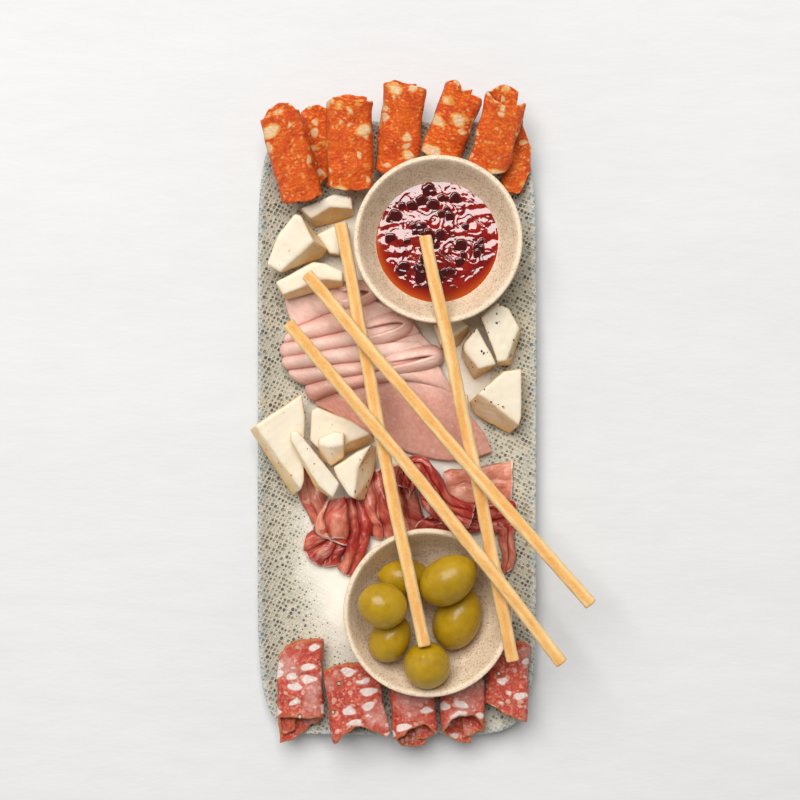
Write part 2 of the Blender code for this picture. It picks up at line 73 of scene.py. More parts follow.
class Nodes:
    """Adds nodes to a material's or a group's tree. A socket is linked, and any other value is set."""

    def __init__(self, tree):
        self.tree = tree

    def put(self, kind, inputs=None, **settings):
        node = self.tree.nodes.new(kind)
        for name, value in settings.items():
            setattr(node, name, value)
        for name, value in (inputs or {}).items():
            self.feed(node.inputs[name], value)
        return node

    def feed(self, socket, value):
        if isinstance(value, bpy.types.NodeSocket):
            self.tree.links.new(value, socket)
        elif socket.type == "RGBA" and len(value) == 3:
            socket.default_value = (*value, 1.0)
        else:
            socket.default_value = value

    def math(self, operation, a, b=0.0):
        return self.put("ShaderNodeMath", {0: a, 1: b}, operation=operation).outputs[0]

    def shifted(self, vector, change):
        return self.put("ShaderNodeVectorMath", {0: vector, 1: change}, operation="ADD").outputs[0]

    def stretch(self, vector, factors):
        return self.put("ShaderNodeVectorMath", {0: vector, 1: factors}, operation="MULTIPLY").outputs[0]

    def scaled(self, vector, factor):
        return self.put("ShaderNodeVectorMath", {0: vector, 3: factor}, operation="SCALE").outputs[0]

    def mix(self, factor, a, b):
        return self.put("ShaderNodeMix", {0: factor, 6: a, 7: b}, data_type="RGBA").outputs[2]

    def paint(self, under, colour, mask, strength):
        """A colour laid over another one where a mask is, at part of its strength."""
        return self.mix(self.math("MULTIPLY", mask, strength), under, colour)

    def ramp(self, value, low, high, to_low=0.0, to_high=1.0):
        """Eases from to_low to to_high while value goes from low to high."""
        inputs = {0: value, 1: low, 2: high, 3: to_low, 4: to_high}
        return self.put("ShaderNodeMapRange", inputs, interpolation_type="SMOOTHSTEP").outputs[0]

    def clouds(self, vector, scale, detail, distortion=0.0):
        inputs = {"Vector": vector, "Scale": scale, "Detail": detail, "Distortion": distortion}
        return self.put("ShaderNodeTexNoise", inputs).outputs[0]

    def noise(self, vector, size, detail=2.0):
        """Noise with lumps of about a size in metres, as a number and as a colour."""
        inputs = {"Vector": vector, "Scale": 1.0 / size, "Detail": detail, "Roughness": 0.55}
        return self.put("ShaderNodeTexNoise", inputs).outputs

    def drift(self, vector, size, amount):
        """A slow change to both sides of zero, over lumps of a size in metres."""
        return self.math("MULTIPLY", self.math("SUBTRACT", self.noise(vector, size)[0], 0.5), amount)

    def between(self, vector, size, low, high):
        """A value that goes unevenly between two others, over lumps of a size in metres."""
        return self.ramp(self.noise(vector, size, 3.0)[0], 0.3, 0.7, low, high)

    def cells(self, vector, feature="F1", randomness=1.0):
        inputs = {"Vector": vector, "Scale": 1.0, "Randomness": randomness}
        return self.put("ShaderNodeTexVoronoi", inputs, feature=feature).outputs

    def split(self, vector):
        return self.put("ShaderNodeSeparateXYZ", {0: vector}).outputs

    def group(self, tree, **inputs):
        node = self.put("ShaderNodeGroup", node_tree=tree)
        for name, value in inputs.items():
            self.feed(node.inputs[name], value)
        return node.outputs

    def mottle(self, vector, scale, spread, first, second):
        return self.group(MOTTLE, Vector=vector, Scale=scale, Spread=spread, First=first, Second=second)

    def fat(self, vector, scale, share, softness, wobble, roundness):
        values = {"Share": share, "Softness": softness, "Wobble": wobble, "Roundness": roundness}
        return self.group(FAT_PIECES, Vector=vector, Scale=scale, **values)

    def specks(self, vector, scale, share, size):
        return self.group(SPECKS, Vector=vector, Scale=scale, Share=share, Size=size)["Mask"]

    def grain(self, vector, scale, grain=0.3):
        return self.group(GRAIN, Vector=vector, Scale=scale, Grain=grain)["Height"]

    def attribute(self, name):
        return self.put("ShaderNodeAttribute", attribute_name=name).outputs["Fac"]

    def flat(self):
        """The place of a point on its slice before folding."""
        return self.put("ShaderNodeAttribute", attribute_name="flat").outputs["Vector"]

    def spot(self):
        """The place of a point on the board."""
        return self.put("ShaderNodeTexCoord").outputs["Object"]

    def upward(self):
        """How far a surface faces up, from -1 to 1."""
        return self.split(self.put("ShaderNodeNewGeometry").outputs["Normal"])[2]


def make_group(name, inputs, outputs, build):
    """A shader node group. inputs holds name: default, and build(nodes, inputs) returns name: socket."""
    tree = bpy.data.node_groups.new(name, "ShaderNodeTree")
    kinds = {float: "NodeSocketFloat", tuple: "NodeSocketColor", type(None): "NodeSocketVector"}
    for label, default in inputs.items():
        socket = tree.interface.new_socket(label, in_out="INPUT", socket_type=kinds[type(default)])
        if isinstance(default, float):
            socket.default_value = default
        elif isinstance(default, tuple):
            socket.default_value = (*default, 1.0)
    for label, kind in outputs.items():
        tree.interface.new_socket(label, in_out="OUTPUT", socket_type=kind)
    nodes = Nodes(tree)
    given = tree.nodes.new("NodeGroupInput").outputs
    out = tree.nodes.new("NodeGroupOutput")
    for label, socket in build(nodes, given).items():
        tree.links.new(socket, out.inputs[label])
    return tree


VALUE, COLOUR = "NodeSocketFloat", "NodeSocketColor"


def build_fat_pieces(nodes, given):
    """Scattered pieces of fat. Some cells of a pattern hold a piece, whose outline is between the cell's own
    angular one and an oval."""
    scaled = nodes.scaled(given["Vector"], given["Scale"])
    wander = nodes.shifted(nodes.noise(scaled, 1.1)[1], (-0.5, -0.5, -0.5))
    where = nodes.shifted(scaled, nodes.scaled(wander, given["Wobble"]))
    edge = nodes.cells(where, "DISTANCE_TO_EDGE")["Distance"]
    centre = nodes.cells(where)
    choice = nodes.split(centre["Color"])
    angular = nodes.math("MULTIPLY", edge, 1.9)
    size = nodes.math("MULTIPLY_ADD", choice[1], 0.22)
    size.node.inputs[2].default_value = 0.3
    oval = nodes.math("SUBTRACT", size, centre["Distance"])
    shape = nodes.put("ShaderNodeMix", {0: given["Roundness"], 2: angular, 3: oval}).outputs[0]
    held = nodes.math("LESS_THAN", choice[0], given["Share"])
    full = nodes.math("ADD", 0.05, given["Softness"])
    inner = nodes.math("MULTIPLY", nodes.ramp(shape, 0.05, full), held)
    rim = nodes.math("MULTIPLY", nodes.ramp(shape, -0.04, 0.05), held)
    return {"Mask": inner, "Rim": rim}


FAT_PIECES = make_group(
    "Fat pieces",
    {"Vector": None, "Scale": 100.0, "Share": 0.3, "Softness": 0.1, "Wobble": 0.5, "Roundness": 0.5},
    {"Mask": VALUE, "Rim": VALUE},
    build_fat_pieces,
)


def build_specks(nodes, given):
    """Small round specks of differing size in a share of a pattern's cells."""
    cell = nodes.cells(nodes.scaled(given["Vector"], given["Scale"]))
    choice = nodes.split(cell["Color"])
    reach = nodes.math("MULTIPLY", given["Size"], nodes.math("ADD", choice[1], 0.4))
    mask = nodes.ramp(cell["Distance"], reach, nodes.math("MULTIPLY", reach, 0.6))
    held = nodes.math("LESS_THAN", choice[0], given["Share"])
    return {"Mask": nodes.math("MULTIPLY", mask, held)}


SPECKS = make_group(
    "Specks",
    {"Vector": None, "Scale": 500.0, "Share": 0.3, "Size": 0.3},
    {"Mask": VALUE},
    build_specks,
)


def build_mottle(nodes, given):
    """Two colours that drift into each other, with finer flecks of both."""
    broad = nodes.clouds(given["Vector"], given["Scale"], 4.0)
    fine = nodes.clouds(given["Vector"], nodes.math("MULTIPLY", given["Scale"], 6.0), 3.0)
    blend = nodes.math("ADD", nodes.math("MULTIPLY", broad, 0.6), nodes.math("MULTIPLY", fine, 0.4))
    low = nodes.math("SUBTRACT", 0.5, given["Spread"])
    high = nodes.math("ADD", 0.5, given["Spread"])
    factor = nodes.ramp(blend, low, high)
    return {"Color": nodes.mix(factor, given["First"], given["Second"]), "Factor": factor}


MOTTLE = make_group(
    "Mottle",
    {"Vector": None, "Scale": 100.0, "Spread": 0.12, "First": (0.5, 0.5, 0.5), "Second": (0.6, 0.6, 0.6)},
    {"Color": COLOUR, "Factor": VALUE},
    build_mottle,
)


def build_grain(nodes, given):
    """The height of a fine uneven surface: low swells with a sharper grain on them."""
    swell = nodes.clouds(given["Vector"], given["Scale"], 2.0)
    fine = nodes.clouds(given["Vector"], nodes.math("MULTIPLY", given["Scale"], 7.0), 4.0)
    return {"Height": nodes.math("ADD", swell, nodes.math("MULTIPLY", fine, given["Grain"]))}


GRAIN = make_group(
    "Surface grain", {"Vector": None, "Scale": 200.0, "Grain": 0.3}, {"Height": VALUE}, build_grain
)


def material(name, shader, depth=0.0002):
    """A material. shader(nodes) returns the Principled BSDF's inputs, and a Height if the surface has relief,
    which goes up to depth, in metres."""
    made = bpy.data.materials.new(name)
    made.use_nodes = True
    tree = made.node_tree
    principled = tree.nodes["Principled BSDF"]
    nodes = Nodes(tree)
    inputs = shader(nodes)
    relief = inputs.pop("Height", None)
    for label, value in inputs.items():
        nodes.feed(principled.inputs[label], value)
    if relief is not None:
        bump = nodes.put("ShaderNodeBump", {"Height": relief, "Strength": 1.0, "Distance": depth})
        tree.links.new(bump.outputs[0], principled.inputs["Normal"])
    return made


def flesh(weight, radius, scale=0.002):
    """The Principled BSDF's inputs for light that spreads under a moist surface."""
    return {"Subsurface Weight": weight, "Subsurface Radius": radius, "Subsurface Scale": scale}


# ---------------------------------------------------------------- materials


def plate_shader(nodes):
    """Cream glaze in the middle. Towards the rim it breaks over rows of small pits, which hold dark glaze."""
    spot = nodes.spot()
    x, y, _ = nodes.split(spot)[:3]
    across = nodes.math("ABSOLUTE", nodes.math("DIVIDE", x, PLATE_HALF_WIDTH * MM))
    along = nodes.math("ABSOLUTE", nodes.math("DIVIDE", y, PLATE_HALF_LENGTH * MM))
    powers = [nodes.math("POWER", v, p) for v, p in ((across, 3.0), (along, 5.0))]
    out = nodes.math("ADD", *powers)
    edge = nodes.math("ADD", out, nodes.drift(spot, 0.035, 0.5))
    worn = nodes.ramp(edge, 0.05, 0.5)
    skewed = {"Vector": spot, "Angle": math.radians(28)}
    skewed = nodes.put("ShaderNodeVectorRotate", skewed, rotation_type="Z_AXIS").outputs[0]
    rows = nodes.stretch(skewed, (470.0, 400.0, 0.0))
    pit = nodes.cells(rows, randomness=0.26)
    choice = nodes.split(pit["Color"])
    reach = nodes.math("MULTIPLY", nodes.math("ADD", choice[0], 0.35), nodes.math("MULTIPLY", worn, 0.30))
    dot = nodes.ramp(pit["Distance"], nodes.math("ADD", reach, 0.07), nodes.math("SUBTRACT", reach, 0.09))
    dot = nodes.math("MULTIPLY", dot, nodes.ramp(worn, 0.05, 0.5))
    web = nodes.cells(rows, "DISTANCE_TO_EDGE", 0.26)["Distance"]
    ridge = nodes.math("MULTIPLY", nodes.ramp(web, 0.16, 0.02), worn)
    cream = nodes.mottle(spot, 60.0, 0.2, (0.84, 0.785, 0.68), (0.89, 0.85, 0.765))["Color"]
    green = nodes.mottle(spot, 130.0, 0.14, (0.42, 0.43, 0.35), (0.60, 0.56, 0.45))["Color"]
    blue = nodes.mottle(spot, 90.0, 0.1, (0.48, 0.46, 0.37), (0.27, 0.35, 0.37))["Color"]
    field = nodes.mix(nodes.ramp(edge, 0.4, 1.15), green, blue)
    colour = nodes.paint(cream, field, worn, 0.9)
    colour = nodes.paint(colour, (0.74, 0.60, 0.40), ridge, 0.75)
    ink = nodes.mix(nodes.ramp(choice[1], 0.15, 0.75), (0.075, 0.10, 0.115), (0.27, 0.26, 0.19))
    colour = nodes.mix(dot, colour, ink)
    rim = nodes.ramp(nodes.split(spot)[2], 0.0128, 0.0139)
    rim = nodes.math("MULTIPLY", rim, nodes.ramp(edge, 0.75, 1.0))
    pale = nodes.mottle(spot, 260.0, 0.1, (0.35, 0.44, 0.46), (0.66, 0.62, 0.5))["Color"]
    colour = nodes.paint(colour, pale, rim, 0.55)
    low = nodes.math("SUBTRACT", nodes.math("MULTIPLY", ridge, 0.5), dot)
    grain = nodes.grain(spot, 500.0, 0.25)
    height = nodes.math("ADD", low, nodes.math("MULTIPLY", grain, 0.2))
    return {"Base Color": colour, "Roughness": nodes.ramp(worn, 0.0, 1.0, 0.38, 0.5), "Height": height}


def bowl_shader(nodes):
    spot = nodes.spot()
    clay = nodes.mottle(spot, 140.0, 0.2, (0.68, 0.515, 0.355), (0.79, 0.645, 0.475))["Color"]
    brown = nodes.specks(spot, 1050.0, 0.5, 0.5)
    cream = nodes.specks(spot, 900.0, 0.4, 0.45)
    colour = nodes.paint(clay, (0.84, 0.73, 0.58), cream, 0.6)
    colour = nodes.paint(colour, (0.33, 0.20, 0.10), brown, 0.75)
    lip = nodes.ramp(nodes.split(spot)[2], 0.0385, 0.0412)
    colour = nodes.paint(colour, (0.80, 0.67, 0.50), lip, 0.35)
    height = nodes.grain(spot, 420.0, 0.4)
    return {"Base Color": colour, "Roughness": 0.48, "Height": height}


def jam_shader(nodes):
    """Crimson jelly, darker where fruit lies in it, and amber where it thins out along the wall."""
    fruit, thin, _ = nodes.split(nodes.flat())[:3]
    fruit, thin = nodes.math("MULTIPLY", fruit, 1000.0), nodes.math("MULTIPLY", thin, 1000.0)
    spot = nodes.spot()
    jelly = nodes.mottle(spot, 120.0, 0.12, (0.12, 0.001, 0.001), (0.28, 0.008, 0.002))["Color"]
    colour = nodes.mix(nodes.ramp(fruit, 0.1, 0.9), jelly, (0.055, 0.0012, 0.001))
    amber = nodes.mix(nodes.ramp(thin, 0.3, 0.95), (0.26, 0.012, 0.001), (0.46, 0.07, 0.003))
    colour = nodes.mix(nodes.ramp(thin, 0.02, 0.4), colour, amber)
    return {
        "Base Color": colour,
        "Roughness": 0.07,
        "Specular IOR Level": 0.4,
        "Coat Weight": 1.0,
        "Coat Roughness": 0.015,
        "Coat IOR": 1.55,
    }


def olive_shader(nodes):
    flat = nodes.flat()
    skin = nodes.mottle(flat, 45.0, 0.24, (0.33, 0.19, 0.004), (0.47, 0.285, 0.010))["Color"]
    pale = nodes.specks(flat, 420.0, 0.3, 0.16)
    colour = nodes.paint(skin, (0.66, 0.54, 0.16), pale, 0.22)
    bruise = nodes.ramp(nodes.noise(flat, 0.014)[0], 0.6, 0.75)
    colour = nodes.paint(colour, (0.24, 0.13, 0.02), bruise, 0.4)
    height = nodes.grain(flat, 160.0, 0.12)
    return {
        "Base Color": colour,
        "Roughness": nodes.ramp(nodes.noise(flat, 0.006)[0], 0.3, 0.7, 0.26, 0.38),
        "Specular IOR Level": 0.25,
        "Coat Weight": 0.15,
        "Coat Roughness": 0.1,
        "Height": height,
    } | flesh(0.15, (1.0, 0.6, 0.15), 0.003)


def chorizo_shader(nodes):
    flat = nodes.flat()
    meat = nodes.mottle(flat, 160.0, 0.14, (0.60, 0.028, 0.003), (0.93, 0.15, 0.010))["Color"]
    drawn = nodes.stretch(flat, (1.0, 1.6, 1.0))
    grain = nodes.mottle(drawn, 520.0, 0.1, (0.52, 0.026, 0.003), (0.93, 0.28, 0.025))
    meat = nodes.mix(0.42, meat, grain["Color"])
    crumbs = nodes.fat(flat, 430.0, share=0.24, softness=0.18, wobble=0.7, roundness=0.6)
    middling = nodes.fat(flat, 200.0, share=0.2, softness=0.16, wobble=0.7, roundness=0.6)
    wide = nodes.stretch(flat, (0.8, 1.15, 1.0))
    large = nodes.fat(wide, 112.0, share=0.26, softness=0.18, wobble=0.75, roundness=0.66)
    colour = nodes.paint(meat, (0.88, 0.42, 0.12), crumbs["Mask"], 0.62)
    colour = nodes.paint(colour, (0.86, 0.30, 0.05), middling["Rim"], 0.7)
    colour = nodes.paint(colour, (0.87, 0.60, 0.34), middling["Mask"], 0.9)
    colour = nodes.paint(colour, (0.90, 0.38, 0.05), large["Rim"], 0.8)
    cream = nodes.mix(nodes.noise(flat, 0.004)[0], (0.92, 0.52, 0.18), (0.92, 0.74, 0.54))
    colour = nodes.paint(colour, cream, large["Mask"], 0.95)
    # painted shade: the steep sides of the rolls are painted deeper red
    slope_shade = nodes.ramp(nodes.upward(), 0.8, 0.1)
    colour = nodes.paint(colour, (0.55, 0.03, 0.003), slope_shade, 0.45)
    rough = nodes.between(flat, 0.005, 0.3, 0.5)
    fat = nodes.math("MAXIMUM", large["Mask"], middling["Mask"])
    height = nodes.math("ADD", grain["Factor"], nodes.math("MULTIPLY", fat, 0.6))
    return {
        "Base Color": colour,
        "Roughness": rough,
        "Specular IOR Level": 0.35,
        "Height": height,
    } | flesh(0.15, (1.0, 0.35, 0.12))


def salami_shader(nodes):
    flat = nodes.flat()
    lean = nodes.mottle(flat, 120.0, 0.16, (0.42, 0.010, 0.006), (0.62, 0.072, 0.034))["Color"]
    fibre = nodes.mottle(flat, 480.0, 0.1, (0.40, 0.014, 0.008), (0.72, 0.26, 0.16))
    lean = nodes.mix(0.4, lean, fibre["Color"])
    # painted sheen: pale hazy patches over the lean stand in for highlights on the meat
    painted_sheen = nodes.ramp(nodes.noise(flat, 0.02, 3.0)[0], 0.5, 0.68)
    lean = nodes.paint(lean, (0.74, 0.45, 0.39), painted_sheen, 0.5)
    fine = nodes.fat(flat, 620.0, share=0.3, softness=0.2, wobble=0.8, roundness=0.6)
    lean = nodes.paint(lean, (0.80, 0.44, 0.30), fine["Mask"], 0.45)
    small = nodes.fat(flat, 300.0, share=0.26, softness=0.14, wobble=0.8, roundness=0.7)
    wide = nodes.stretch(flat, (0.74, 1.2, 1.0))
    large = nodes.fat(wide, 138.0, share=0.46, softness=0.08, wobble=0.75, roundness=0.72)
    colour = nodes.paint(lean, (0.80, 0.52, 0.42), small["Mask"], 0.6)
    white = nodes.mix(nodes.noise(flat, 0.003)[0], (0.80, 0.62, 0.56), (0.86, 0.78, 0.73))
    colour = nodes.paint(colour, (0.72, 0.30, 0.22), large["Rim"], 0.45)
    colour = nodes.paint(colour, white, large["Mask"], 0.95)
    gauge = nodes.ramp(nodes.attribute("gauge"), 1.6, 0.4)
    colour = nodes.paint(colour, (0.52, 0.17, 0.04), gauge, 0.75)
    height = nodes.math("ADD", fibre["Factor"], nodes.math("MULTIPLY", large["Mask"], 0.5))
    return {
        "Base Color": colour,
        "Roughness": nodes.between(flat, 0.006, 0.32, 0.52),
        "Specular IOR Level": 0.45,
        "Height": height,
    } | flesh(0.12, (1.0, 0.35, 0.22))


def mortadella_shader(nodes):
    """Smooth pink paste, paler on the gathered pleats than on the open front of the slice."""
    flat = nodes.flat()
    pink = nodes.mottle(flat, 40.0, 0.2, (0.84, 0.50, 0.41), (0.90, 0.70, 0.62))["Color"]
    front = nodes.mottle(flat, 40.0, 0.2, (0.57, 0.22, 0.155), (0.66, 0.31, 0.23))["Color"]
    pink = nodes.mix(nodes.ramp(nodes.split(nodes.spot())[1], 0.034, 0.012), pink, front)
    fine = nodes.mottle(flat, 420.0, 0.12, (0.68, 0.31, 0.23), (0.86, 0.60, 0.51))
    pink = nodes.mix(0.25, pink, fine["Color"])
    paler = nodes.specks(flat, 260.0, 0.22, 0.3)
    colour = nodes.paint(pink, (0.84, 0.64, 0.55), paler, 0.35)
    fat = nodes.fat(flat, 60.0, share=0.1, softness=0.2, wobble=0.5, roundness=0.7)
    colour = nodes.paint(colour, (0.86, 0.72, 0.64), fat["Mask"], 0.5)
    # painted shade: the slopes of the pleats and the insides of the hairpins are painted deeper pink
    slope_shade = nodes.ramp(nodes.upward(), 0.9, 0.2)
    colour = nodes.paint(colour, (0.70, 0.27, 0.20), slope_shade, 0.6)
    pepper = nodes.specks(flat, 150.0, 0.05, 0.16)
    colour = nodes.paint(colour, (0.10, 0.045, 0.025), pepper, 0.85)
    return {
        "Base Color": colour,
        "Roughness": nodes.between(flat, 0.012, 0.32, 0.48),
        "Specular IOR Level": 0.4,
        "Height": fine["Factor"],
    } | flesh(0.2, (1.0, 0.4, 0.25))


def prosciutto_shader(nodes):
    """Ham from deep rose to pale pink by its tone, with fibres along the ribbon, white streaks of fat, and
    fat along its edges."""
    flat = nodes.flat()
    tone = nodes.attribute("tone")
    along = nodes.stretch(flat, (1.0, 0.2, 1.0))
    deep = nodes.mottle(along, 240.0, 0.15, (0.27, 0.012, 0.010), (0.47, 0.050, 0.034))["Color"]
    light = nodes.mottle(along, 200.0, 0.15, (0.57, 0.125, 0.068), (0.74, 0.33, 0.22))["Color"]
    drift = nodes.drift(flat, 0.011, 1.9)
    lean = nodes.mix(nodes.ramp(nodes.math("ADD", tone, drift), -0.1, 0.75), deep, light)
    streak = nodes.clouds(along, 150.0, 3.0, 0.9)
    streak = nodes.ramp(nodes.math("ABSOLUTE", nodes.math("SUBTRACT", streak, 0.5)), 0.028, 0.0)
    streak = nodes.math("MULTIPLY", streak, nodes.ramp(nodes.noise(flat, 0.012)[0], 0.4, 0.58))
    colour = nodes.paint(lean, (0.84, 0.56, 0.46), streak, 0.45)
    # painted shade: the steep sides of the folds are painted deep red
    slope_shade = nodes.ramp(nodes.upward(), 0.85, 0.15)
    colour = nodes.paint(colour, (0.24, 0.015, 0.012), slope_shade, 0.65)
    gauge = nodes.attribute("gauge")
    wander = nodes.math("MULTIPLY", nodes.noise(flat, 0.009)[0], 3.0)
    edge = nodes.ramp(nodes.math("ADD", gauge, wander), 2.6, 1.7)
    colour = nodes.paint(colour, (0.86, 0.64, 0.54), edge, 0.8)
    return {
        "Base Color": colour,
        "Roughness": nodes.between(flat, 0.007, 0.2, 0.38),
        "Specular IOR Level": 0.4,
        "Height": nodes.grain(along, 300.0, 0.3),
    } | flesh(0.25, (1.0, 0.3, 0.2))


def cheese_shader(nodes):
    """Ivory paste, painted warmer and more golden on the sides and low down as painted shade, where less
    light gets through it.
    """
    spot = nodes.spot()
    paste = nodes.mottle(spot, 45.0, 0.25, (0.74, 0.645, 0.48), (0.78, 0.71, 0.585))["Color"]
    # painted shade: the sides are painted golden, as the translucent paste looks in shadow
    side = nodes.ramp(nodes.math("ABSOLUTE", nodes.upward()), 0.96, 0.35)
    gold = nodes.mottle(spot, 60.0, 0.12, (0.80, 0.47, 0.13), (0.80, 0.62, 0.36))["Color"]
    colour = nodes.paint(paste, gold, side, 0.75)
    # painted shade: slanted faces low on the piece, by each point's height above its bottom, are painted
    # amber
    foot = nodes.ramp(nodes.attribute("gauge"), 7.5, 1.0)
    slope = nodes.ramp(nodes.math("ABSOLUTE", nodes.upward()), 0.98, 0.7)
    amber = nodes.math("MULTIPLY", nodes.math("MULTIPLY", foot, slope), 0.8)
    colour = nodes.mix(amber, colour, (0.84, 0.45, 0.07))
    eye = nodes.ramp(nodes.noise(spot, 0.014)[0], 0.62, 0.76)
    colour = nodes.paint(colour, (0.86, 0.64, 0.30), eye, 0.5)
    dust = nodes.specks(spot, 300.0, 0.06, 0.2)
    colour = nodes.paint(colour, (0.50, 0.27, 0.09), dust, 0.6)
    height = nodes.grain(spot, 240.0, 0.3)
    return {
        "Base Color": colour,
        "Roughness": 0.4,
        "Specular IOR Level": 0.35,
        "Height": height,
    } | flesh(0.2, (1.0, 0.75, 0.4), 0.003)


def breadstick_shader(nodes):
    """Pale dough, baked to gold along the stick's top."""
    flat = nodes.flat()
    rise = nodes.attribute("gauge")
    drawn = nodes.stretch(flat, (1.0, 0.35, 1.0))
    dough = nodes.mottle(drawn, 260.0, 0.2, (0.76, 0.49, 0.20), (0.84, 0.61, 0.31))["Color"]
    crust = nodes.mottle(drawn, 300.0, 0.2, (0.68, 0.29, 0.055), (0.80, 0.44, 0.13))["Color"]
    patchy = nodes.drift(drawn, 0.009, 1.1)
    baked = nodes.ramp(nodes.math("ADD", rise, patchy), 0.2, 0.95)
    colour = nodes.paint(dough, crust, baked, 0.9)
    flour = nodes.specks(flat, 800.0, 0.3, 0.3)
    colour = nodes.paint(colour, (0.88, 0.70, 0.42), flour, 0.35)
    height = nodes.grain(drawn, 520.0, 0.5)
    return {"Base Color": colour, "Roughness": 0.62, "Specular IOR Level": 0.3, "Height": height}


def herb_shader(nodes):
    spot = nodes.spot()
    leaf = nodes.mottle(spot, 900.0, 0.2, (0.035, 0.02, 0.008), (0.12, 0.07, 0.02))["Color"]
    return {"Base Color": leaf, "Roughness": 0.65, "Height": nodes.grain(spot, 1500.0)}


def spice_shader(nodes):
    spot = nodes.spot()
    flake = nodes.mottle(spot, 900.0, 0.2, (0.50, 0.09, 0.012), (0.70, 0.26, 0.04))["Color"]
    return {"Base Color": flake, "Roughness": 0.5, "Height": nodes.grain(spot, 1500.0)}


def peppercorn_shader(nodes):
    """A cut peppercorn: a dark wrinkled skin round a pale middle."""
    flat = nodes.flat()
    radius = nodes.split(flat)[0]
    skin = nodes.mottle(nodes.spot(), 1200.0, 0.2, (0.02, 0.012, 0.008), (0.07, 0.04, 0.02))["Color"]
    core = nodes.mottle(nodes.spot(), 900.0, 0.2, (0.45, 0.29, 0.13), (0.62, 0.45, 0.25))["Color"]
    colour = nodes.mix(nodes.ramp(radius, 0.62, 0.7), core, skin)
    return {"Base Color": colour, "Roughness": 0.6, "Height": nodes.grain(nodes.spot(), 1200.0)}


def table_shader(nodes):
    spot = nodes.spot()
    brushed = nodes.stretch(spot, (0.35, 1.0, 1.0))
    white = nodes.mottle(brushed, 18.0, 0.3, (0.66, 0.66, 0.66), (0.70, 0.70, 0.705))["Color"]
    return {"Base Color": white, "Roughness": 0.8, "Height": nodes.grain(brushed, 70.0)}


MATERIALS = {
    "stoneware": material("Stoneware glaze", plate_shader, depth=0.0005),
    "bowl_glaze": material("Bowl glaze", bowl_shader, depth=0.00025),
    "jam": material("Jam", jam_shader),
    "olive": material("Olive skin", olive_shader, depth=0.0003),
    "chorizo": material("Chorizo", chorizo_shader, depth=0.0003),
    "salami": material("Salami", salami_shader, depth=0.0003),
    "mortadella": material("Mortadella", mortadella_shader, depth=0.00015),
    "prosciutto": material("Prosciutto", prosciutto_shader, depth=0.0003),
    "cheese": material("Cheese", cheese_shader, depth=0.00015),
    "breadstick": material("Breadstick crust", breadstick_shader, depth=0.0005),
    "herb": material("Dried herb", herb_shader, depth=0.0001),
    "spice": material("Spice flake", spice_shader, depth=0.0001),
    "peppercorn": material("Cut peppercorn", peppercorn_shader, depth=0.0001),
}


# ---------------------------------------------------------------- making pieces


def add_attribute(mesh, name, values):
    """A value at each point for the materials to read: a place, kept in metres, or a plain number."""
    if values is None:
        return
    values = np.asarray(values, float)
    if values.ndim == 2:
        mesh.attributes.new(name, "FLOAT_VECTOR", "POINT").data.foreach_set("vector", (values * MM).ravel())
    else:
        mesh.attributes.new(name, "FLOAT", "POINT").data.foreach_set("value", values)


def piece(name, slot, points, faces, flat=None, gauge=None, replaces=(), finish=None, tone=None):
    """A piece of the board from points in millimetres. flat, rind and tone are its attributes: places before
    folding, distances in millimetres, and how pale each point is."""
    mesh = bpy.data.meshes.new(name)
    mesh.from_pydata((np.asarray(points).reshape(-1, 3) * MM).tolist(), [], [tuple(f) for f in faces])
    for label, values in (("flat", flat), ("gauge", gauge), ("tone", tone)):
        add_attribute(mesh, label, values)
    work = bmesh.new()
    work.from_mesh(mesh)
    bmesh.ops.recalc_face_normals(work, faces=work.faces)
    work.to_mesh(mesh)
    work.free()
    mesh.shade_smooth()
    mesh.materials.append(MATERIALS[finish or slot])
    made = bpy.data.objects.new(name, mesh)
    bpy.context.scene.collection.objects.link(made)
    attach(made, "root")
    if replaces:
        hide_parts(*replaces)
    return made


def eased(share):
    """0 to 1 with a soft start and a soft end."""
    return share * share * (3 - 2 * share)


def on_line(distance):
    """Points along X, for a ripple that goes by distance alone."""
    return np.stack([distance, np.zeros_like(distance), np.zeros_like(distance)], -1)


def ripple(points, size, seed, waves=7):
    """A smooth uneven wave through space, from about -1 to 1, with swells of a size in millimetres."""
    draw = np.random.default_rng(seed)
    total = np.zeros(points.shape[:-1])
    for _ in range(waves):
        way = draw.normal(size=3)
        way /= np.linalg.norm(way)
        total += np.sin(points @ way * math.tau / (size * draw.uniform(0.7, 1.5)) + draw.uniform(0, math.tau))
    return total / math.sqrt(waves) * 0.8


def warp(points, amount, size, seed):
    """Points pushed about by smooth swells, which keep neighbours in order."""
    return points + amount * np.stack([ripple(points, size, seed + k) for k in range(3)], axis=-1)


def turned(points, turn=0.0, pitch=0.0, roll=0.0):
    spin = Euler((math.radians(pitch), math.radians(roll), math.radians(turn)), "YXZ").to_matrix()
    return points @ np.array(spin).T


def settled(points, node):
    """Points moved to stand where a CAD node does: over the middle of its box, and on its lowest level."""
    low, high = (np.array(corner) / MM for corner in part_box(node))
    flat = points.reshape(-1, 3)
    mine_low, mine_high = flat.min(0), flat.max(0)
    shift = (low + high - mine_low - mine_high) / 2
    shift[2] = low[2] - mine_low[2]
    return points + shift


def grid_normals(points):
    across = np.gradient(points, axis=0)
    along = np.gradient(points, axis=1)
    normals = np.cross(across, along)
    return normals / np.maximum(np.linalg.norm(normals, axis=-1, keepdims=True), 1e-9)


EDGE_ROUNDING = 0.7


def edge_distance(points):
    """How far each point of a grid is from the sheet's nearest edge, along the sheet."""
    found = []
    for axis in (0, 1):
        step = np.linalg.norm(np.diff(points, axis=axis), axis=-1)
        run = np.concatenate([np.zeros_like(step.take([0], axis)), np.cumsum(step, axis)], axis)
        found.append(np.minimum(run, run.take([-1], axis) - run))
    return np.minimum(*found)


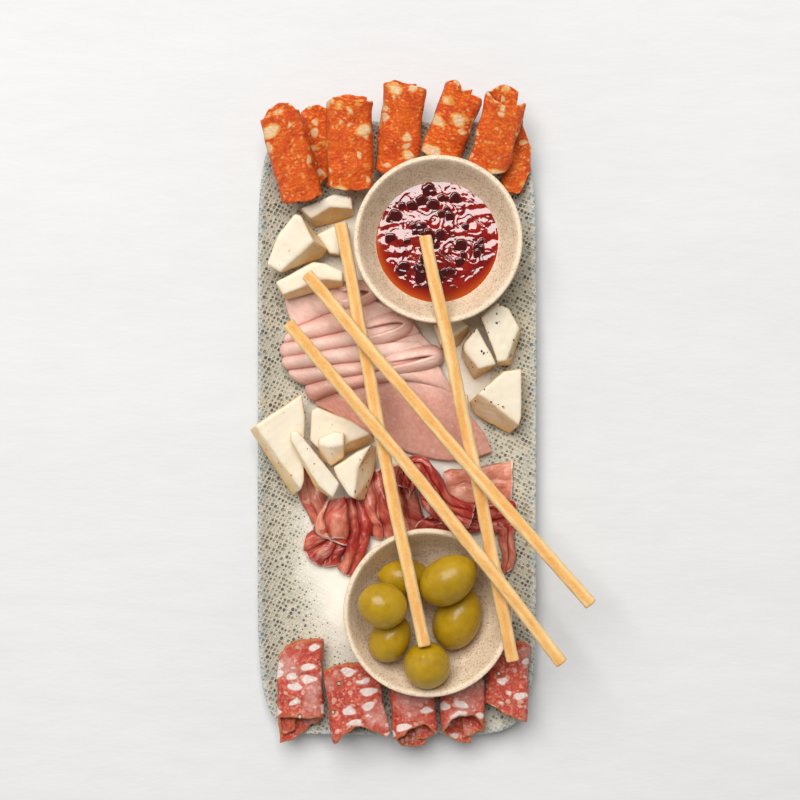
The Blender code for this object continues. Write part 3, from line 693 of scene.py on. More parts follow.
def layer_of(grid, thick, seed=0, flat=None, shape=lambda points: points):
    """A sheet with soft edges on each side of a grid of points: its points, faces, flat attribute, and
    distances from the edge."""
    rim = edge_distance(grid)
    half = thick / 2 * np.sqrt(np.clip(rim / EDGE_ROUNDING, 0.04, 1.0))[..., None]
    normals = grid_normals(grid)
    both = shape(np.stack([grid + normals * half, grid - normals * half]))
    rows, columns = grid.shape[:2]
    top, under = np.arange(2 * rows * columns).reshape(2, rows, columns)
    faces = np.stack([top[:-1, :-1], top[:-1, 1:], top[1:, 1:], top[1:, :-1]], -1).reshape(-1, 4).tolist()
    below = [under[:-1, :-1], under[1:, :-1], under[1:, 1:], under[:-1, 1:]]
    faces += np.stack(below, -1).reshape(-1, 4).tolist()
    around = [(0, c) for c in range(columns)] + [(r, columns - 1) for r in range(1, rows)]
    around += [(rows - 1, c) for c in range(columns - 2, -1, -1)] + [(r, 0) for r in range(rows - 2, 0, -1)]
    for here, there in zip(around, around[1:] + around[:1]):
        faces.append((top[here], top[there], under[there], under[here]))
    flat = measured(grid, seed) if flat is None else flat
    return both.reshape(-1, 3), faces, np.stack([flat, flat]).reshape(-1, 3), np.stack([rim, rim]).ravel()


def smooth_line(points, times=3):
    """A line with its corners cut again and again, so that it curves. Its ends stay."""
    line = np.array(points, float)
    for _ in range(times):
        near, far = line[:-1] * 0.75 + line[1:] * 0.25, line[:-1] * 0.25 + line[1:] * 0.75
        line = np.concatenate([line[:1], np.stack([near, far], 1).reshape(-1, line.shape[1]), line[-1:]])
    return line


def spin_faces(rows, sides):
    """The faces of rings of points, one row to the next, each end closed with one face."""
    index = np.arange(rows * sides).reshape(rows, sides)
    nxt = np.roll(index, -1, axis=1)
    faces = np.stack([index[:-1], nxt[:-1], nxt[1:], index[1:]], -1).reshape(-1, 4).tolist()
    return faces + [index[0][::-1].tolist(), index[-1].tolist()]


def turn_profile(profile, sides):
    """Rings of points around Z from (radius, height) rows."""
    angle = np.linspace(0, math.tau, sides, endpoint=False)
    radius, height = profile[:, 0], profile[:, 1]
    x, y = radius[:, None] * np.cos(angle), radius[:, None] * np.sin(angle)
    return np.stack([x, y, np.broadcast_to(height[:, None], x.shape)], -1)


# ---------------------------------------------------------------- ware

PLATE_POWER, PLATE_SIDES = 8, 420

# inset from the plate's edge, and height, from the middle of the foot round the rim to the middle of the well
PLATE_UNDERSIDE = [(30.0, 0.0), (22.0, 0.0), (21.0, 0.0), (16.0, 1.4), (6.0, 5.6), (1.0, 10.2), (0.0, 12.6)]
PLATE_RIM = [(0.4, PLATE_HEIGHT), (2.4, PLATE_HEIGHT)]
PLATE_WELL = [(6.0, 11.4), (13.0, 8.2), (20.0, 7.0), (34.0, 7.0)]


def make_plate():
    """A shallow tray with a gently upturned rim, and a line that wavers a little as thrown stoneware does."""
    angle = np.linspace(0, math.tau, PLATE_SIDES, endpoint=False)
    cosine, sine = np.cos(angle), np.sin(angle)
    shape_x = np.sign(cosine) * np.abs(cosine) ** (2 / PLATE_POWER)
    shape_y = np.sign(sine) * np.abs(sine) ** (2 / PLATE_POWER)
    rings = []
    for inset, height in smooth_line(PLATE_UNDERSIDE + PLATE_RIM + PLATE_WELL):
        x, y = shape_x * (PLATE_HALF_WIDTH - inset), shape_y * (PLATE_HALF_LENGTH - inset)
        rings.append(np.stack([x, y, np.full_like(x, height)], -1))
    rings = np.array(rings)
    rise = np.clip(rings[..., 2:] / PLATE_HEIGHT, 0, 1)
    rings = rings * (1 - 0.002 * (1 + ripple(rings, 90.0, 3))[..., None] * rise * np.array([1, 1, 0]))
    faces = spin_faces(len(rings), PLATE_SIDES)
    return piece("plate_glazed", "stoneware", settled(rings, "plate"), faces, replaces=["plate"])


BOWL_HEIGHT, BOWL_SIDES = 34.0, 128

# radius and height, from the middle of the foot round the rim to the middle of the bowl
BOWL_OUTSIDE = [(20.0, 0.0), (24.0, 0.0), (26.0, 1.6), (31.5, 5.0), (38.5, 13.5), (43.6, 23.0)]
BOWL_RIM = [(46.8, 31.0), (47.0, 33.4), (45.6, 34.4), (43.9, 33.6)]
BOWL_INSIDE = [(41.6, 29.0), (38.4, 23.0), (35.0, 17.5), (27.0, 9.4), (15.0, 5.4), (0.4, 5.2)]


def make_bowl(node, seed):
    profile = smooth_line(BOWL_OUTSIDE + BOWL_RIM + BOWL_INSIDE)
    profile[:, 1] = np.minimum(profile[:, 1], BOWL_HEIGHT)
    rings = turn_profile(profile, BOWL_SIDES)
    rise = np.clip(rings[..., 2] / BOWL_HEIGHT, 0, 1)[..., None]
    rings = rings + rise * 0.25 * ripple(rings, 60.0, seed)[..., None] * np.array([1, 1, 0.4])
    faces = spin_faces(len(rings), BOWL_SIDES)
    return piece(node + "_glazed", "bowl_glaze", settled(rings, node), faces, replaces=[node])


JAM_RADIUS, JAM_RINGS, JAM_SIDES = 35.6, 190, 400

# pieces of fruit, how far out they lie at most, and the smallest and largest radius
FRUIT, FRUIT_REACH, FRUIT_SIZES = 46, 29.5, (1.7, 3.9)


def make_jam():
    """Jam that meets its bowl's wall. Whole fruit stands up in it, and the jelly between it swirls."""
    draw = np.random.default_rng(21)
    low, high = (np.array(corner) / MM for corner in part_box("jam"))
    centre = (low + high) / 2
    level = high[2] - 0.6
    radius = (np.linspace(0.02, 1, JAM_RINGS) ** 0.8) * JAM_RADIUS
    angle = np.linspace(0, math.tau, JAM_SIDES, endpoint=False)
    x, y = radius[:, None] * np.cos(angle), radius[:, None] * np.sin(angle)
    from_wall = JAM_RADIUS - radius[:, None]
    spot = np.stack([x, y, np.zeros_like(x)], -1)
    bent = warp(spot, 2.4, 13.0, 60) * np.array([1.0, 1.35, 0.0])
    swell = ripple(bent, 12.0, 70, 9)
    swirl = np.sin(6.6 * ripple(warp(spot, 1.5, 9.0, 66), 13.0, 75, 8))
    folds = 0.10 * swell + 0.062 * swirl + 0.02 * ripple(warp(spot, 1.0, 6.0, 90), 2.2, 91, 12)
    fruit, lift = np.zeros_like(x), np.zeros_like(x)
    lumpy = warp(spot, 0.55, 5.0, 50)
    for _ in range(FRUIT):
        far, way = FRUIT_REACH * math.sqrt(draw.uniform()), draw.uniform(0, math.tau)
        size = draw.uniform(*FRUIT_SIZES)
        at_x, at_y = far * math.cos(way), far * math.sin(way)
        off = np.hypot(lumpy[..., 0] - at_x, (lumpy[..., 1] - at_y) * draw.uniform(0.8, 1.3)) / size
        lump = eased(np.clip((1.15 - off) / 0.35, 0, 1))
        fruit = np.maximum(fruit, lump)
        lift = lift * (1 - lump) + lump * (0.35 + draw.uniform(0.13, 0.2) * (spot[..., 1] - at_y))
    # the jelly thins out along the wall, most of all at the front
    thin_way = np.clip(0.35 - 0.65 * np.sin(angle + 0.15) - 0.12 * np.cos(3 * angle), 0.1, 1)
    thin = np.clip(1 - from_wall / (1.2 + 9.0 * thin_way), 0, 1) * np.ones_like(x)
    calm = 1 - 0.92 * np.clip(thin * 2.4, 0, 1)
    z = level + calm * (folds * (1 - 0.75 * fruit) + lift) - 0.0006 * (y + 8.0) ** 2 - 0.1
    # and climbs the wall a little
    z += 0.35 * np.clip(1 - from_wall / 1.6, 0, 1) ** 2
    z = np.minimum(z, high[2] + 1.4)
    top = np.stack([x + centre[0], y + centre[1], z], -1)
    # a skirt below the level closes the solid
    skirt = top[-1:].copy()
    skirt[..., 2] = level - 4.0
    skirt[..., :2] = centre[:2] + (skirt[..., :2] - centre[:2]) * 0.9
    grid = np.concatenate([top, skirt])
    shown = np.stack([fruit, thin, np.zeros_like(x)], -1)
    shown = np.concatenate([shown, shown[-1:]]).reshape(-1, 3)
    return piece("jam_fruit", "jam", grid, spin_faces(JAM_RINGS + 1, JAM_SIDES), shown, replaces=["jam"])


# ---------------------------------------------------------------- olives

# node, length, width, turn, pitch
OLIVES = [
    ("olive_back", 30.0, 21.0, 82.0, 8.0),
    ("olive_right", 36.0, 26.0, -24.0, 8.0),
    ("olive_left_low", 28.0, 22.0, -30.0, 10.0),
    ("olive_front", 28.0, 26.0, 20.0, 62.0),
    ("olive_top_right", 35.0, 26.0, -56.0, 12.0),
    ("olive_left", 28.0, 25.0, 70.0, 24.0),
]
OLIVE_ROWS, OLIVE_SIDES = 56, 72


def make_olive(node, length, width, turn, pitch, seed):
    """An olive with a small point at one end, and the pit of its stalk at the other."""
    along = -np.cos(np.linspace(0.015, math.pi - 0.015, OLIVE_ROWS))
    around = np.sqrt(1 - along**2)
    radius = width / 2 * around * (1 - 0.07 * along)
    reach = along * length / 2
    reach = reach + 0.8 * np.exp(-((around / 0.16) ** 2)) * (along > 0)
    reach = reach + 1.3 * np.exp(-((around / 0.12) ** 2)) * (along < 0)
    rings = turn_profile(np.stack([radius, reach], -1), OLIVE_SIDES)[..., [0, 2, 1]] * np.array([1, 1, -1])
    rings = rings + 0.22 * ripple(rings, 13.0, seed)[..., None] * rings / np.array([width, length, width])
    flat = (rings + seed * 40.0).reshape(-1, 3)
    points = settled(turned(rings, turn, pitch), node)
    return piece(node + "_skin", "olive", points, spin_faces(OLIVE_ROWS, OLIVE_SIDES), flat, replaces=[node])


# ---------------------------------------------------------------- rolled slices

TURN_STEP, STRAIGHT_STEP, ROLL_STEPS = 6.0, 0.8, 64


def fold_walk(runs):
    """Distances and places along a cross-section given as (length, turn in degrees) runs."""
    x = z = distance = heading = 0.0
    walk = [(distance, x, z)]
    for length, turn in runs:
        parts = max(1, math.ceil(abs(turn) / TURN_STEP), math.ceil(length / STRAIGHT_STEP))
        for _ in range(parts):
            heading += math.radians(turn) / parts / 2
            x += length / parts * math.cos(heading)
            z += length / parts * math.sin(heading)
            heading += math.radians(turn) / parts / 2
            distance += length / parts
            walk.append((distance, x, z))
    return np.array(walk).T


LAYER_SPACE = 1.0


def scroll_runs(width, height, thick, inner, flap):
    """A slice's section: an inner leaf, a turn, the bottom, the outer turn and a domed flap over the top."""
    outer_loop = height - thick
    inner_loop = outer_loop - thick - LAYER_SPACE
    bottom = width - thick - (outer_loop + inner_loop) / 2
    outer_turn, dome = 148.0, 60.0
    turn_length = math.pi * outer_loop / 2 * outer_turn / 180
    return [
        (inner, -14),
        (math.pi * inner_loop / 2 * 0.94, 180),
        (bottom, 12),
        (turn_length, outer_turn),
        (flap + bottom * 0.25, dome),
    ]


def blend_rows(rows, share):
    """Values of a row of evenly spaced numbers, from share -1 to 1, joined by smooth curves."""
    rows = np.array(rows, float)
    spot = (np.clip(share, -1, 1) + 1) / 2 * (len(rows) - 1)
    low = np.minimum(spot.astype(int), len(rows) - 2)
    part = eased(spot - low)
    return rows[low] * (1 - part) + rows[low + 1] * part


SQUARE = (1.4, 0.3, 0.0, 0.2, 1.2)
ROUND = (5.0, 1.2, 0.0, 1.2, 5.0)

# node, turn, pitch, roll, width, height, length, inner leaf, flap, mirrored, and how far the lower and upper
# leaves stand back from its far end, then from its near end, each from the roll's left side to its right
CHORIZO = [
    ("chorizo_under_left", -5, 6, 0, 20, 9, 46, 6, 7, 0, ROUND, ROUND, SQUARE, SQUARE),
    (
        "chorizo_1", 16, 8, -7, 24.6, 13, 56, 10, 17, 1,
        (6, 1.2, 0, 1.2, 6), (5, 5.5, 6, 5.5, 6), SQUARE, SQUARE,
    ),
    (
        "chorizo_2", 0, 7, 0, 27.4, 13.5, 54, 8, 16, 0,
        (5, 1.5, 0, 0.5, 4), (4, 2.5, 2.5, 3, 5), SQUARE, SQUARE,
    ),
    (
        "chorizo_3", -6.5, 7, 0, 25.4, 13.5, 52, 9, 12, 0,
        (2.5, 0, 1.2, 0.4, 2.5), (2.5, 1.4, 3, 2, 3), SQUARE, SQUARE,
    ),
    ("chorizo_4", -20, 8, 0, 24, 12.5, 46, 8, 10, 0, (3, 0, 3.5, 1, 4), (4, 3, 7.5, 5, 5), SQUARE, SQUARE),
    ("chorizo_under_right", -1, 5, 0, 17, 6.8, 42, 4, 7, 0, ROUND, ROUND, SQUARE, SQUARE),
    (
        "chorizo_5", -16, 8, 5, 24.6, 12.5, 48, 9, 12, 0,
        (5.5, 1, 0, 1, 5.5), (6, 9, 10.5, 9, 6), SQUARE, SQUARE,
    ),
]

SALAMI = [
    (
        "salami_1", 2, -7, 0, 27.6, 10.4, 58, 5, 20, 1,
        (8, 2, 0, 0, 0), (9, 2.5, 0.5, 0, 0), (0, 1, 6, 11, 14), (15, 14.5, 14, 14, 14),
    ),
    ("salami_2", 9, -7, 0, 33, 10.6, 44, 6, 21, 0, SQUARE, SQUARE, (2, 12, 14, 10, 2), (0.5, 6, 9, 5, 0)),
    (
        "salami_3", 3, -7, 0, 26.6, 12, 38, 7, 12, 0,
        SQUARE, SQUARE, (4.5, 0.8, 0, 0.8, 4), (5, 6, 10, 12, 8),
    ),
    (
        "salami_4", 3, -7, 0, 26.4, 13.4, 38, 7, 10, 0,
        SQUARE, SQUARE, (4.5, 0.8, 0, 0.8, 4), (9, 14.5, 16, 15.5, 10),
    ),
    ("salami_5", -1, -5, 0, 25, 10.2, 45, 5, 16, 1, SQUARE, SQUARE, (10, 7, 5, 3, 1), (9, 6, 4, 2, 0)),
]


# a slice's thickness, and how far the innermost leaf is tucked in from the roll's ends
THICK = {"chorizo": 1.7, "salami": 1.5}
TUCK = {"chorizo": 11.0, "salami": 3.5}


def make_roll(slot, row, seed):
    """A rolled slice, whose lower leaf stands out past the upper one at its open end."""
    node, turn, pitch, roll, width, height, length, inner, flap, mirrored, *edges = row
    distance, x, z = fold_walk(scroll_runs(width, height, THICK[slot], inner, flap))
    x = (-1 if mirrored else 1) * (x - (x.max() + x.min()) / 2)
    z = z - z.min()
    share = x / x.max()
    upper = eased(np.clip(z / z.max() * 1.7 - 0.35, 0, 1))
    far, near = (
        length / 2 - blend_rows(low, share) * (1 - upper) - blend_rows(high, share) * upper
        for low, high in (edges[:2], edges[2:])
    )
    tucked = TUCK[slot] * np.clip((inner + 9.0 - distance) / 7.0, 0, 1)
    far, near = far - tucked, near - tucked
    ends = np.sin(np.linspace(-1, 1, ROLL_STEPS) * math.pi / 2)
    walk = on_line(distance)
    far = far + 0.25 * ripple(walk, 9.0, seed) + 0.1 * ripple(walk, 2.6, seed + 1)
    near = near + 0.35 * ripple(walk, 8.0, seed + 2) + 0.12 * ripple(walk, 2.6, seed + 3)
    y = (far[:, None] * (1 + ends) - near[:, None] * (1 - ends)) / 2
    shape = np.ones_like(y)
    grid = np.stack([x[:, None] * shape, y, z[:, None] * shape], -1)
    flat = np.stack([distance[:, None] * shape, y, 37.0 * seed * shape], -1)

    def bend(points):
        loose = warp(points, 0.7, 19.0, 5 * seed)
        loose = warp(loose, 0.14, 6.0, 5 * seed + 3)
        return turned(loose, turn, pitch, roll)

    points, faces, flat, rim = layer_of(grid, THICK[slot], flat=flat, shape=bend)
    return piece(node + "_slice", slot, settled(points, node), faces, flat, rim, [node])


# ---------------------------------------------------------------- pleated slices


def rail(points, samples):
    """A smooth line through control points, with evenly spaced samples."""
    line = smooth_line(points, 3)
    reach = np.concatenate([[0], np.cumsum(np.linalg.norm(np.diff(line, axis=0), axis=1))])
    return np.stack([np.interp(np.linspace(0, reach[-1], samples), reach, c) for c in line.T], -1)


def pleats(rails, bands, along, seed, closed=0.0, crimp=0.0):
    """A grid of points over a pleated sheet. Its creases follow the rails, and each band between two of
    them is an arch, given as its height at its start, middle and end, how far its tip bulges, and how far its
    mouth is cut back. closed is the length over which the arches close at their start, and crimp is the depth
    of the fine folds along them."""
    lines = np.array([rail(points, along) for points in rails])
    share = np.linspace(0, 1, along)
    rows = []
    for order, (near, far, band) in enumerate(zip(lines, lines[1:], bands)):
        *heights, tip, mouth = band
        span = np.linalg.norm(far - near, axis=1).max()
        steps = max(10, math.ceil(span / 0.9))
        height = blend_rows(heights, 2 * share - 1)
        run = np.linalg.norm(np.diff(near, axis=0), axis=1).sum() * share
        if closed:
            height = height * np.sqrt(1 - (1 - np.clip(run / closed, 0, 1)) ** 2)
        way = np.gradient((near + far) / 2, axis=0)
        way /= np.linalg.norm(way, axis=1, keepdims=True)
        slide = -tip * np.clip(1 - share * 4, 0, 1) ** 2 - mouth * np.clip(share * 4 - 3, 0, 1) ** 2
        for part in np.linspace(0, 1, steps)[: None if order == len(bands) - 1 else -1]:
            arch = math.sqrt(1 - (2 * part - 1) ** 2)
            row = near * (1 - part) + far * part + way * (slide * arch)[:, None]
            wave = np.sin(part * span / 0.36 + 1.3 * ripple(row, 16.0, seed + order))
            fine = crimp * math.sin(math.pi * part) * wave
            row[:, 2] += height * arch + fine * (0.4 + 0.6 * share)
            rows.append(row)
    return np.array(rows)


def measured(grid, seed):
    """The flat attribute of a grid of points: its distances along and across the sheet."""
    across, along = (np.linalg.norm(np.diff(grid, axis=axis), axis=-1) for axis in (0, 1))
    across = np.concatenate([np.zeros_like(across[:1]), np.cumsum(across, 0)])
    along = np.concatenate([np.zeros_like(along[:, :1]), np.cumsum(along, 1)], 1)
    return np.stack([across, along, np.full_like(across, seed * 53.0)], -1)


def joined(name, slot, layers, tones, node):
    """One piece from several sheets, each as layer_of gives it, in its node's place."""
    points, faces, flats, rims, tone, start = [], [], [], [], [], 0
    for (spots, sides, flat, rim), pale in zip(layers, tones):
        points.append(spots)
        flats.append(flat)
        rims.append(rim)
        tone.append(np.full(len(spots), pale))
        faces += [[k + start for k in side] for side in sides]
        start += len(spots)
    points = np.concatenate(points)
    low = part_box(node)[0].z / MM
    points[:, 2] += low - points[:, 2].min()
    flats, rims, tone = np.concatenate(flats), np.concatenate(rims), np.concatenate(tone)
    return piece(name, slot, points, faces, flats, rims, [node], tone=tone)


MORTADELLA_THICK, MORTADELLA_STEPS = 1.6, 150

# node, creases from the front to the back, each from left to right, and the bands between them
MORTADELLA = [
    (
        "mortadella_front",
        [
            [(-43, 12, 0), (-31, 5, 0), (-10, -7.5, 0), (16, -17.5, 0), (40, -19.5, 0), (54, -13.5, 0)],
            [(-46, 13, 0.4), (-30, 16.5, 1), (0, 14, 0.6), (30, 4, 0.2), (50, -3, 0)],
            [(-47, 15.5, 1.2), (-28, 22.5, 1.4), (-4, 27.5, 1), (14, 27.5, 0.4), (33, 19, 0.2)],
            [(-51, 25, 1.6), (-20, 31, 1.6), (2, 35, 1.4), (22.5, 38.5, 0.6)],
            [(-60, 33, 2), (-20, 38, 2.4), (2, 40, 2.4), (20, 43.5, 1.2)],
            [(-62, 40.5, 3), (-22, 47, 3.4), (0, 49.5, 3), (12, 49, 2.4)],
        ],
        [(0, 0, 0, 0, 0), (0, 0, 0, 0, 0), (6.2, 5, 1.2, 3, 0), (6.6, 6.4, 2, 4, 0), (6.6, 6.6, 1.4, 4, 0)],
    ),
    (
        "mortadella_back",
        [
            [(-58, 36.5, 0), (-22, 41, 0), (0, 42.5, 0), (24, 42.5, 0)],
            [(-61, 39.5, 0.6), (-24, 46.5, 0.8), (-8, 49.5, 0.8), (13, 54.5, 0.2)],
            [(-62, 49, 1.6), (-28, 55, 1.8), (-10, 59, 1.4), (7.5, 62.5, 0.3)],
            [(-57, 57.5, 1.8), (-34, 66, 1.8), (-22, 70.5, 1.4), (-14, 73, 0.6)],
            [(-62, 76, 0.6), (-42, 79, 0.6), (-26, 80, 0.4), (-15.6, 78.6, 0.4)],
        ],
        [(1, 1.2, 0.8, 0, 0), (7, 7.4, 2.4, 5, 0), (6.8, 7, 2, 4, 0), (4, 6.4, 2.4, 3, 0)],
    ),
]


# node, and the course of the sheet where it doubles back at the right end of a pleat
HAIRPINS = {
    "mortadella_front": [
        [(-14, 36.2), (6, 40.6), (19, 42.4), (23.4, 41), (19, 38.6), (4, 35.2), (-12, 32)],
    ],
    "mortadella_back": [
        [(-24, 55.6), (-10, 59.4), (1, 61.6), (5.6, 59), (0, 55), (-10, 52), (-24, 49.6)],
        [(-36, 77.6), (-26, 79.2), (-17, 79.4), (-13.8, 77.2), (-18, 74.4), (-26, 72.4), (-36, 71)],
    ],
}


HAIRPIN_LOW, HAIRPIN_HIGH, HAIRPIN_SPREAD, HAIRPIN_CLOSING = 1.0, 8.4, 5.5, 0.16
HAIRPIN_STEPS, HAIRPIN_ROWS = 90, 16


def hairpin(course):
    """A grid for a wall of sheet that turns back on itself, from its outer foot over the lip and down inside.
    It comes down to the pleat at both ends."""
    line = rail([(*point, 0.0) for point in course], HAIRPIN_STEPS)
    way = np.gradient(line, axis=0)
    way /= np.linalg.norm(way, axis=1, keepdims=True)
    out = np.stack([-way[:, 1], way[:, 0], np.zeros(len(way))], -1)
    share = np.linspace(0, 1, HAIRPIN_STEPS)
    rise = eased(np.clip(np.minimum(share, 1 - share) / HAIRPIN_CLOSING, 0, 1))
    rows = []
    for part in np.linspace(0, 1, HAIRPIN_ROWS):
        side, up = math.cos(math.pi * part * 0.8), math.sin(math.pi * part * 0.8)
        reach = (HAIRPIN_SPREAD if side > 0.2 else 0.9) * (side - 0.2)
        row = line + out * (reach * (0.3 + 0.7 * rise))[:, None]
        row[:, 2] += HAIRPIN_LOW + (HAIRPIN_HIGH - HAIRPIN_LOW) * up * rise
        rows.append(row)
    return np.array(rows)


def make_mortadella(node, rails, bands, seed):
    """A slice gathered into rounded pleats, whose left ends are closed like fingertips and which open or
    flatten out towards the right."""
    grid = pleats(rails, bands, MORTADELLA_STEPS, seed, closed=7.0)
    layers = []
    for order, sheet_grid in enumerate([grid] + [hairpin(course) for course in HAIRPINS[node]]):
        layers.append(layer_of(warp(sheet_grid, 0.45, 26.0, seed), MORTADELLA_THICK, seed + order))
    return joined(node + "_slice", "mortadella", layers, [0.5] * len(layers), node)


# ---------------------------------------------------------------- prosciutto

PROSCIUTTO_THICK, PROSCIUTTO_STEPS = 0.9, 90

# the node that a ribbon is part of, how pale it is, its creases, and the bands between them
RIBBONS = [
    (
        "prosciutto_strip",
        0.55,
        [
            [(-58.5, -20, 0), (-58.5, -36, 0), (-48, -55, 0.6)],
            [(-51, -19, 0.6), (-51, -37, 0.8), (-43, -57, 0.8)],
            [(-40, -20, 0.4), (-42, -38, 1), (-38, -55, 1.4)],
        ],
        [(1.6, 1.8, 2, 0, 0), (1.8, 2.2, 2.6, 0, 0)],
    ),
    (
        "prosciutto_petal",
        0.5,
        [
            [(-41, -42, 1), (-46, -50, 1.5), (-47.5, -58, 1), (-43, -62.5, 0.6)],
            [(-38, -40, 2), (-41, -49, 2.5), (-40, -58, 2), (-37, -63.5, 1)],
            [(-30, -39, 2), (-27.5, -48, 2.5), (-26.5, -57, 2), (-28, -64, 1)],
        ],
        [(3, 4, 3, 0, 1), (5, 8.5, 5, 0, 2)],
    ),
    (
        "prosciutto_petal",
        0,
        [
            [(-45, -52, 0), (-47.5, -58, 0), (-45, -62, 0)],
            [(-38, -54, 1), (-39, -60, 1), (-37, -64.5, 0.6)],
            [(-29, -54, 1), (-28, -60, 1), (-28, -66, 0.6)],
        ],
        [(2, 4.5, 3.5, 0, 0), (2, 5, 3.5, 0, 0)],
    ),
    (
        "prosciutto_lobe",
        0.1,
        [
            [(-36, -57, 1.2), (-44, -58, 0.8), (-51, -60.5, 0.2)],
            [(-34.5, -60.5, 1.6), (-42, -66, 1.8), (-51.5, -71, 0.4)],
            [(-32, -62, 1.6), (-36, -70, 1.8), (-42, -79, 0.4)],
            [(-28, -61, 1.2), (-29, -69, 1), (-32, -77, 0)],
        ],
        [(2, 5.4, 3.4, 0, -2.5), (2, 5, 3.4, 0, -2), (2, 3.6, 2.4, 0, -1.5)],
    ),
    (
        "prosciutto_middle",
        0.05,
        [
            [(-30, -40, 1), (-27, -54, 2), (-28, -68, 1), (-34, -79, 0)],
            [(-23.5, -38.5, 2), (-21, -54, 3.4), (-22.5, -69, 1.5), (-28, -84.5, 0.2)],
            [(-17, -42, 1), (-13.5, -56, 1.5), (-15.5, -68, 1), (-22, -81, 0)],
        ],
        [(3, 5.6, 3, 0, -1.5), (3, 5, 3, 0, -1.5)],
    ),
    (
        "prosciutto_centre",
        0.3,
        [
            [(-21, -27, 0.6), (-20, -44, 0.8), (-14, -62, 0)],
            [(-14, -24, 1), (-12, -42, 1.4), (-7, -63, 0.2)],
            [(-7, -22, 1), (-4, -41, 1.6), (1, -63, 0.2)],
            [(1, -20, 1), (4, -40, 1.6), (9, -61, 0.2)],
            [(8, -22, 0.6), (12, -40, 1), (19, -58, 0)],
        ],
        [(3, 5.4, 3, 0, -2), (3, 6.4, 3.4, 0, -2), (3.4, 7, 3.6, 0, -2), (3, 6, 3, 0, -2)],
    ),
    (
        "prosciutto_loop",
        0,
        [
            [(-2, -31, 3), (2, -18, 5), (14, -14, 6), (24, -24, 5), (30, -38, 3), (44, -44, 2)],
            [(2, -33, 4), (5.5, -21.5, 6), (14, -18.5, 7.5), (20, -27, 6), (26, -42, 4), (43, -47.5, 2.5)],
            [
                (6, -34, 3.5),
                (8.5, -25.5, 5.5),
                (12.5, -23, 6.5),
                (16, -30, 5),
                (22, -46, 3.5),
                (42, -51.5, 2),
            ],
            [(7, -40, 1), (9.5, -34, 2), (11, -31, 2), (12.5, -36, 1.4), (18, -52, 1), (40, -57, 1)],
        ],
        [(3, 5, 2.5, 0, 0), (3, 4.4, 2.5, 0, 0), (1.5, 2.6, 2, 0, 0)],
    ),
    (
        "prosciutto_right",
        0.85,
        [
            [(27, -25, 2), (45, -22, 1.4), (65.5, -18.6, 0.6)],
            [(27, -33, 2.6), (46, -31, 2), (66, -29, 1)],
            [(27, -44, 2), (48, -43, 2), (66, -42, 1)],
        ],
        [(1.4, 1.6, 1.2, 0, 0), (1.6, 1.8, 1.4, 0, 0)],
    ),
    (
        "prosciutto_right",
        0,
        [
            [(22, -42, 1), (42, -42, 1), (66, -41, 0.4)],
            [(20, -47, 1.6), (42, -47, 2), (68, -46, 1)],
            [(15, -52, 1.6), (40, -52.5, 2), (68, -52, 1)],
            [(10, -57, 1), (34, -60, 1), (62, -60, 0)],
        ],
        [(2, 3, 3, 0, -1), (3, 4.4, 4, 0, -2), (3, 4.4, 4, 0, -2)],
    ),
    (
        "prosciutto_tail",
        0.35,
        [
            [(57, -56, 0.6), (59, -68, 0.6), (59.5, -80, 0)],
            [(62, -55, 1), (63.5, -68, 1), (63.5, -82, 0.2)],
            [(68, -55, 0.4), (67.5, -67, 0.6), (67.5, -79, 0)],
        ],
        [(3, 3.4, 2, 0, -1.5), (3, 3.4, 2, 0, -1)],
    ),
]


def make_prosciutto(node, seed):
    """Thin ham in ruffled ribbons that lie over each other."""
    ribbons = [row[1:] for row in RIBBONS if row[0] == node]
    layers = []
    for order, (_, rails, bands) in enumerate(ribbons):
        grid = pleats(rails, bands, PROSCIUTTO_STEPS, seed + order, crimp=0.09)
        grid = warp(warp(grid, 0.8, 12.0, seed + 20 + order), 0.1, 4.0, seed + 40 + order)
        layers.append(layer_of(grid, PROSCIUTTO_THICK, seed + 10 * order))
    return joined(node + "_ribbon", "prosciutto", layers, [ribbon[0] for ribbon in ribbons], node)


# ---------------------------------------------------------------- cheese

CHEESE_GRAIN, CHEESE_SOFTENING = 0.65, 12


def make_cheese(node, seed):
    """A cut piece of cheese: its CAD solid, with soft arrises and the slight unevenness of a broken paste."""
    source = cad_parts[node]
    work = bmesh.new()
    work.from_mesh(source.data)
    bmesh.ops.remove_doubles(work, verts=work.verts, dist=0.01 * MM)
    mesh = bpy.data.meshes.new(node)
    work.to_mesh(mesh)
    work.free()
    body = bpy.data.objects.new(node, mesh)
    bpy.context.scene.collection.objects.link(body)
    remesh = body.modifiers.new("Paste", "REMESH")
    remesh.mode = "VOXEL"
    remesh.voxel_size = CHEESE_GRAIN * MM
    soften = body.modifiers.new("Soften", "SMOOTH")
    soften.iterations = CHEESE_SOFTENING
    evaluated = body.evaluated_get(bpy.context.evaluated_depsgraph_get())
    fine = bpy.data.meshes.new_from_object(evaluated)
    bpy.data.objects.remove(body)
    points = np.empty(len(fine.vertices) * 3)
    fine.vertices.foreach_get("co", points)
    points = points.reshape(-1, 3) / MM
    normals = np.empty(len(fine.vertices) * 3)
    fine.vertices.foreach_get("normal", normals)
    normals = normals.reshape(-1, 3)
    rough = 0.14 * ripple(points, 16.0, seed) + 0.06 * ripple(points, 5.0, seed + 1)
    rough = rough + 0.02 * ripple(points, 2.0, seed + 2)
    points = points + normals * rough[:, None]
    faces = [tuple(face.vertices) for face in fine.polygons]
    rise = points[:, 2] - points[:, 2].min()
    return piece(node + "_cut", "cheese", settled(points, node), faces, gauge=rise, replaces=[node])


# ---------------------------------------------------------------- breadsticks

STICK_LENGTH, STICK_WIDTH, STICK_ROWS, STICK_SIDES = 240.0, 7.2, 260, 40
SQUARENESS, FLATTENING = 2.6, 0.94

